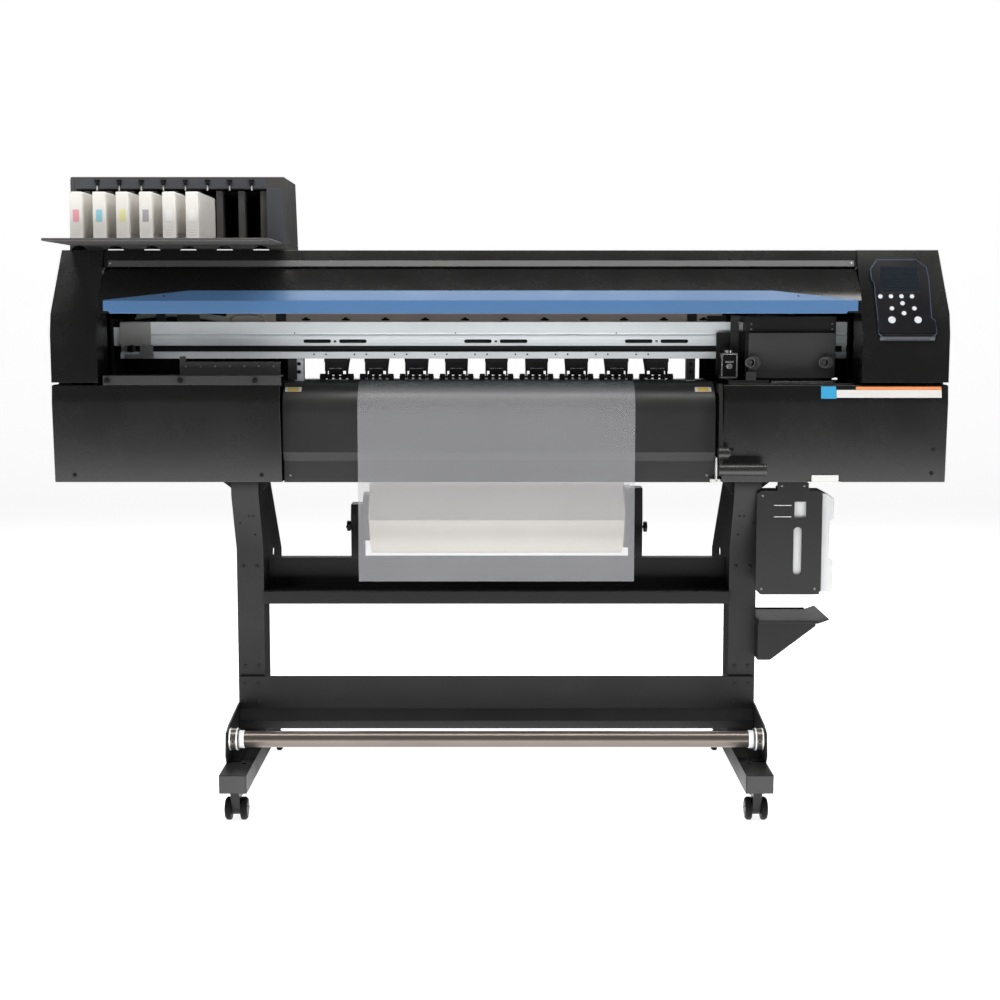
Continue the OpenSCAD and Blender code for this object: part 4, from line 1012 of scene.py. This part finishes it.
def make_rear_details():
    """Vents, mains inlet, sockets, a blank plate and the screws on the rear."""
    (x0, _, z0), (x1, y1, z1) = corners("lower_cover_right")
    y1 += 0.2
    # painted shade: black bars stand in for the shade inside the right vent slots
    rows("rear_vents_right", "machine", "black_and_hole_shade", slot_bar(46, 4.5, 0.5), (x0 + 130, y1, z0 + 60), (60, 0, 0),
         3, (0, 0, 12), 9,
         (0, 0, 180))
    inlet = Shape().box((x1 - 110, y1 - 0.5, z0 + 40), (x1 - 60, y1 + 2.5, z0 + 72)).ring("y", (x1 - 85, z0 + 56),
            11, 14, y1 + 2, y1 + 6, 6)
    inlet.box((x1 - 52, y1 - 0.5, z0 + 44), (x1 - 34, y1 + 3, z0 + 68)).outline("x", x1 - 49, x1 - 37,
            [(y1 + 2, z0 + 47), (y1 + 6, z0 + 50), (y1 + 3.5, z0 + 65), (y1 + 2, z0 + 65)])
    inlet.done("mains_inlet", "machine", "holder_black", bevel=0.5)
    pins = Shape()
    for dx, dz in ((-5, -3), (5, -3), (0, 4)):
        pins.box((x1 - 86 + dx, y1 + 1, z0 + 53 + dz), (x1 - 84 + dx, y1 + 5.5, z0 + 58 + dz))
    pins.done("mains_pins", "machine", "bright_steel", bevel=0.2)
    ports = Shape().box((x0 + 30, y1 - 0.5, z0 + 150), (x0 + 110, y1 + 1.5, z0 + 190))
    ports.done("socket_plate", "machine", "bright_steel", bevel=0.4)
    sockets = Shape().box((x0 + 38, y1 + 1, z0 + 162), (x0 + 52, y1 + 1.9, z0 + 176)).box((x0 + 64, y1 + 1,
            z0 + 162), (x0 + 76, y1 + 1.9, z0 + 172)).box((x0 + 86, y1 + 1, z0 + 164),
                                                          (x0 + 100, y1 + 1.9, z0 + 170))
    sockets.done("sockets", "machine", "black_and_hole_shade", bevel=0.3)
    (lx0, _, lz0), (lx1, _, lz1) = corners("lower_cover_left")
    # painted shade: black bars stand in for the shade inside the left vent slots
    rows("rear_vents_left", "machine", "black_and_hole_shade", slot_bar(46, 4.5, 0.5), (lx0 + 100, y1, lz0 + 60), (60, 0, 0),
         4, (0, 0, 12), 9,
         (0, 0, 180))
    plate = Shape().box((x1 - 120, y1 - 0.4, z0 + 130), (x1 - 40, y1 + 0.6, z0 + 180))
    plate.done("blank_plate", "machine", "label_white", bevel=0.2, slot="cover_black")
    (tx0, _, tz0), (tx1, ty1, tz1) = corners("top_cover")
    screws = [(x, ty1 + 0.1, z) for x in [tx0 + 20 + 180 * k for k in range(10)] for z in (tz1 - 45, 1012)]
    screws += [(x, y1, z) for x in (lx0 + 20, lx1 - 20, x0 + 20, x1 - 20) for z in (lz0 + 16, lz1 - 16)]
    screws += [(x, y1, z) for x in (lx0 + 20, tx0 - 20, tx1 + 20, x1 - 20) for z in (965, 1180)]
    on_points("rear_screws", "machine", "zinc", screw_head(3.4), screws, (0, 0, 180))
    grille = Shape().ring("y", (-600, 1115), 44, 48, ty1 - 0.4, ty1 + 2.4, 48)
    for radius in (10, 18, 26, 34):
        grille.ring("y", (-600, 1115), radius, radius + 2, ty1 + 0.3, ty1 + 2, 40)
    grille.box((-646, ty1 - 0.3, 1113.5), (-554, ty1 + 1.6, 1116.5)).box((-601.5, ty1 - 0.3, 1069),
            (-598.5, ty1 + 1.6, 1161))
    grille.done("fan_grille", "machine", "frame_metal", bevel=0.2)


# ---- camera, light and floor ----

CAMERA_DISTANCE = 3.9
CAMERA_HEIGHT = 1.0894
CAMERA_TILT = 0.10825
CAMERA_LENS = 61.29


def make_camera():
    data = bpy.data.cameras.new("camera")
    data.sensor_width = 36
    data.lens = CAMERA_LENS
    camera = bpy.data.objects.new("camera", data)
    camera.location = (0, -CAMERA_DISTANCE, CAMERA_HEIGHT)
    camera.rotation_euler = (math.pi / 2 - CAMERA_TILT, 0, 0)
    bpy.context.collection.objects.link(camera)
    bpy.context.scene.camera = camera


def make_light(name, place, target, size, power, colour=(1, 1, 1)):
    data = bpy.data.lights.new(name, "AREA")
    data.shape = "RECTANGLE"
    data.size, data.size_y = size
    data.energy = power
    data.color = colour
    light = bpy.data.objects.new(name, data)
    light.location = place
    light.visible_camera = False
    light.rotation_euler = (Vector(target) - Vector(place)).to_track_quat("-Z", "Y").to_euler()
    bpy.context.collection.objects.link(light)


def make_studio():
    world = bpy.data.worlds.new("studio")
    world.use_nodes = True
    tree = Tree(world.node_tree)
    back = world.node_tree.nodes["Background"]
    seen = tree.add("ShaderNodeLightPath").outputs["Is Camera Ray"]
    back.inputs["Color"].default_value = (1, 1, 1, 1)
    tree.put(back.inputs["Strength"], tree.remap(seen, 0, 1, 0.06, 1.0))
    scene = bpy.context.scene
    scene.world = world
    scene.view_settings.view_transform = "Standard"
    make_light("top_soft_box", (0, -0.85, 3.3), (0, 0, 0.9), (3.6, 0.5), 80, (1.0, 0.985, 0.965))
    make_light("left_soft_box", (-3.4, -2.8, 2.2), (0, 0, 0.8), (1.4, 2.2), 50)
    make_light("right_soft_box", (3.4, -2.8, 2.2), (0, 0, 0.8), (1.4, 2.2), 50)
    make_light("inner_lamp", (-0.1, 0.075, 1.19), (-0.1, 0.07, 0.9), (1.5, 0.04), 0.3)
    make_light("rear_soft_box", (0, 3.3, 2.9), (0, 0, 0.8), (3.6, 1.4), 85)


def make_floor():
    """Pale floor that bends up into a backdrop far behind the object."""
    material, tree, shader, place = new_shader("pale_floor")
    cloud = noise(tree, place, 0.8)
    seen = tree.add("ShaderNodeLightPath").outputs["Is Camera Ray"]
    pale = tree.blend(cloud, rgba((0.9, 0.9, 0.9)), rgba((0.93, 0.93, 0.93)))
    tree.put(shader.inputs["Base Color"], tree.blend(seen, rgba((0.12, 0.12, 0.12)), pale))
    tree.put(shader.inputs["Roughness"], tree.remap(noise(tree, place, 30.0), 0.3, 0.7, 0.6, 0.7))
    shader.inputs["Emission Color"].default_value = (1, 1, 1, 1)
    away = tree.add("ShaderNodeSeparateXYZ", {0: place}).outputs["Y"]
    near = tree.math("MULTIPLY", tree.remap(away, -2.3, -2.05, 0.0, 3.3), tree.remap(away, -0.6, 0.4, 1.0, 0.0))
    tree.put(shader.inputs["Emission Strength"], tree.math("ADD", tree.math("MULTIPLY", seen, 0.85),
                                                           tree.math("MULTIPLY", tree.math("SUBTRACT", 1.0, seen),
                                                                     near)))
    profile = [(-9, 0), (6, 0)] + [(6 + 3 * math.sin(a), 3 - 3 * math.cos(a)) for a in
                                   [math.pi / 2 * k / 12 for k in range(1, 13)]] + [(9, 12)]
    mesh = bpy.data.meshes.new("floor")
    verts = [(x, y, z) for y, z in profile for x in (-14, 14)]
    faces = [(2 * i, 2 * i + 1, 2 * i + 3, 2 * i + 2) for i in range(len(profile) - 1)]
    mesh.from_pydata(verts, [], faces)
    mesh.polygons.foreach_set("use_smooth", [True] * len(mesh.polygons))
    floor = bpy.data.objects.new("floor", mesh)
    bpy.context.collection.objects.link(floor)
    mesh.materials.append(material)


paint_frame()
round_casings()
make_film()
make_top_strip()
make_front_cover_screws()
make_front_bar()
make_cover_details()
make_plain_labels()
make_apron_details()
make_control_panel()
make_rail_details()
make_behind_rail()
make_platen_details()
make_pinch_details()
make_carriage_details()
make_cutter_details()
make_capping_station()
make_cartridge_details()
make_ink_unit_details()
make_leg_details()
make_bar_details()
make_caster_details()
make_lever_details()
make_waste_details()
make_shelf_details()
make_roll_details()
make_rear_details()
make_camera()
make_studio()
make_floor()
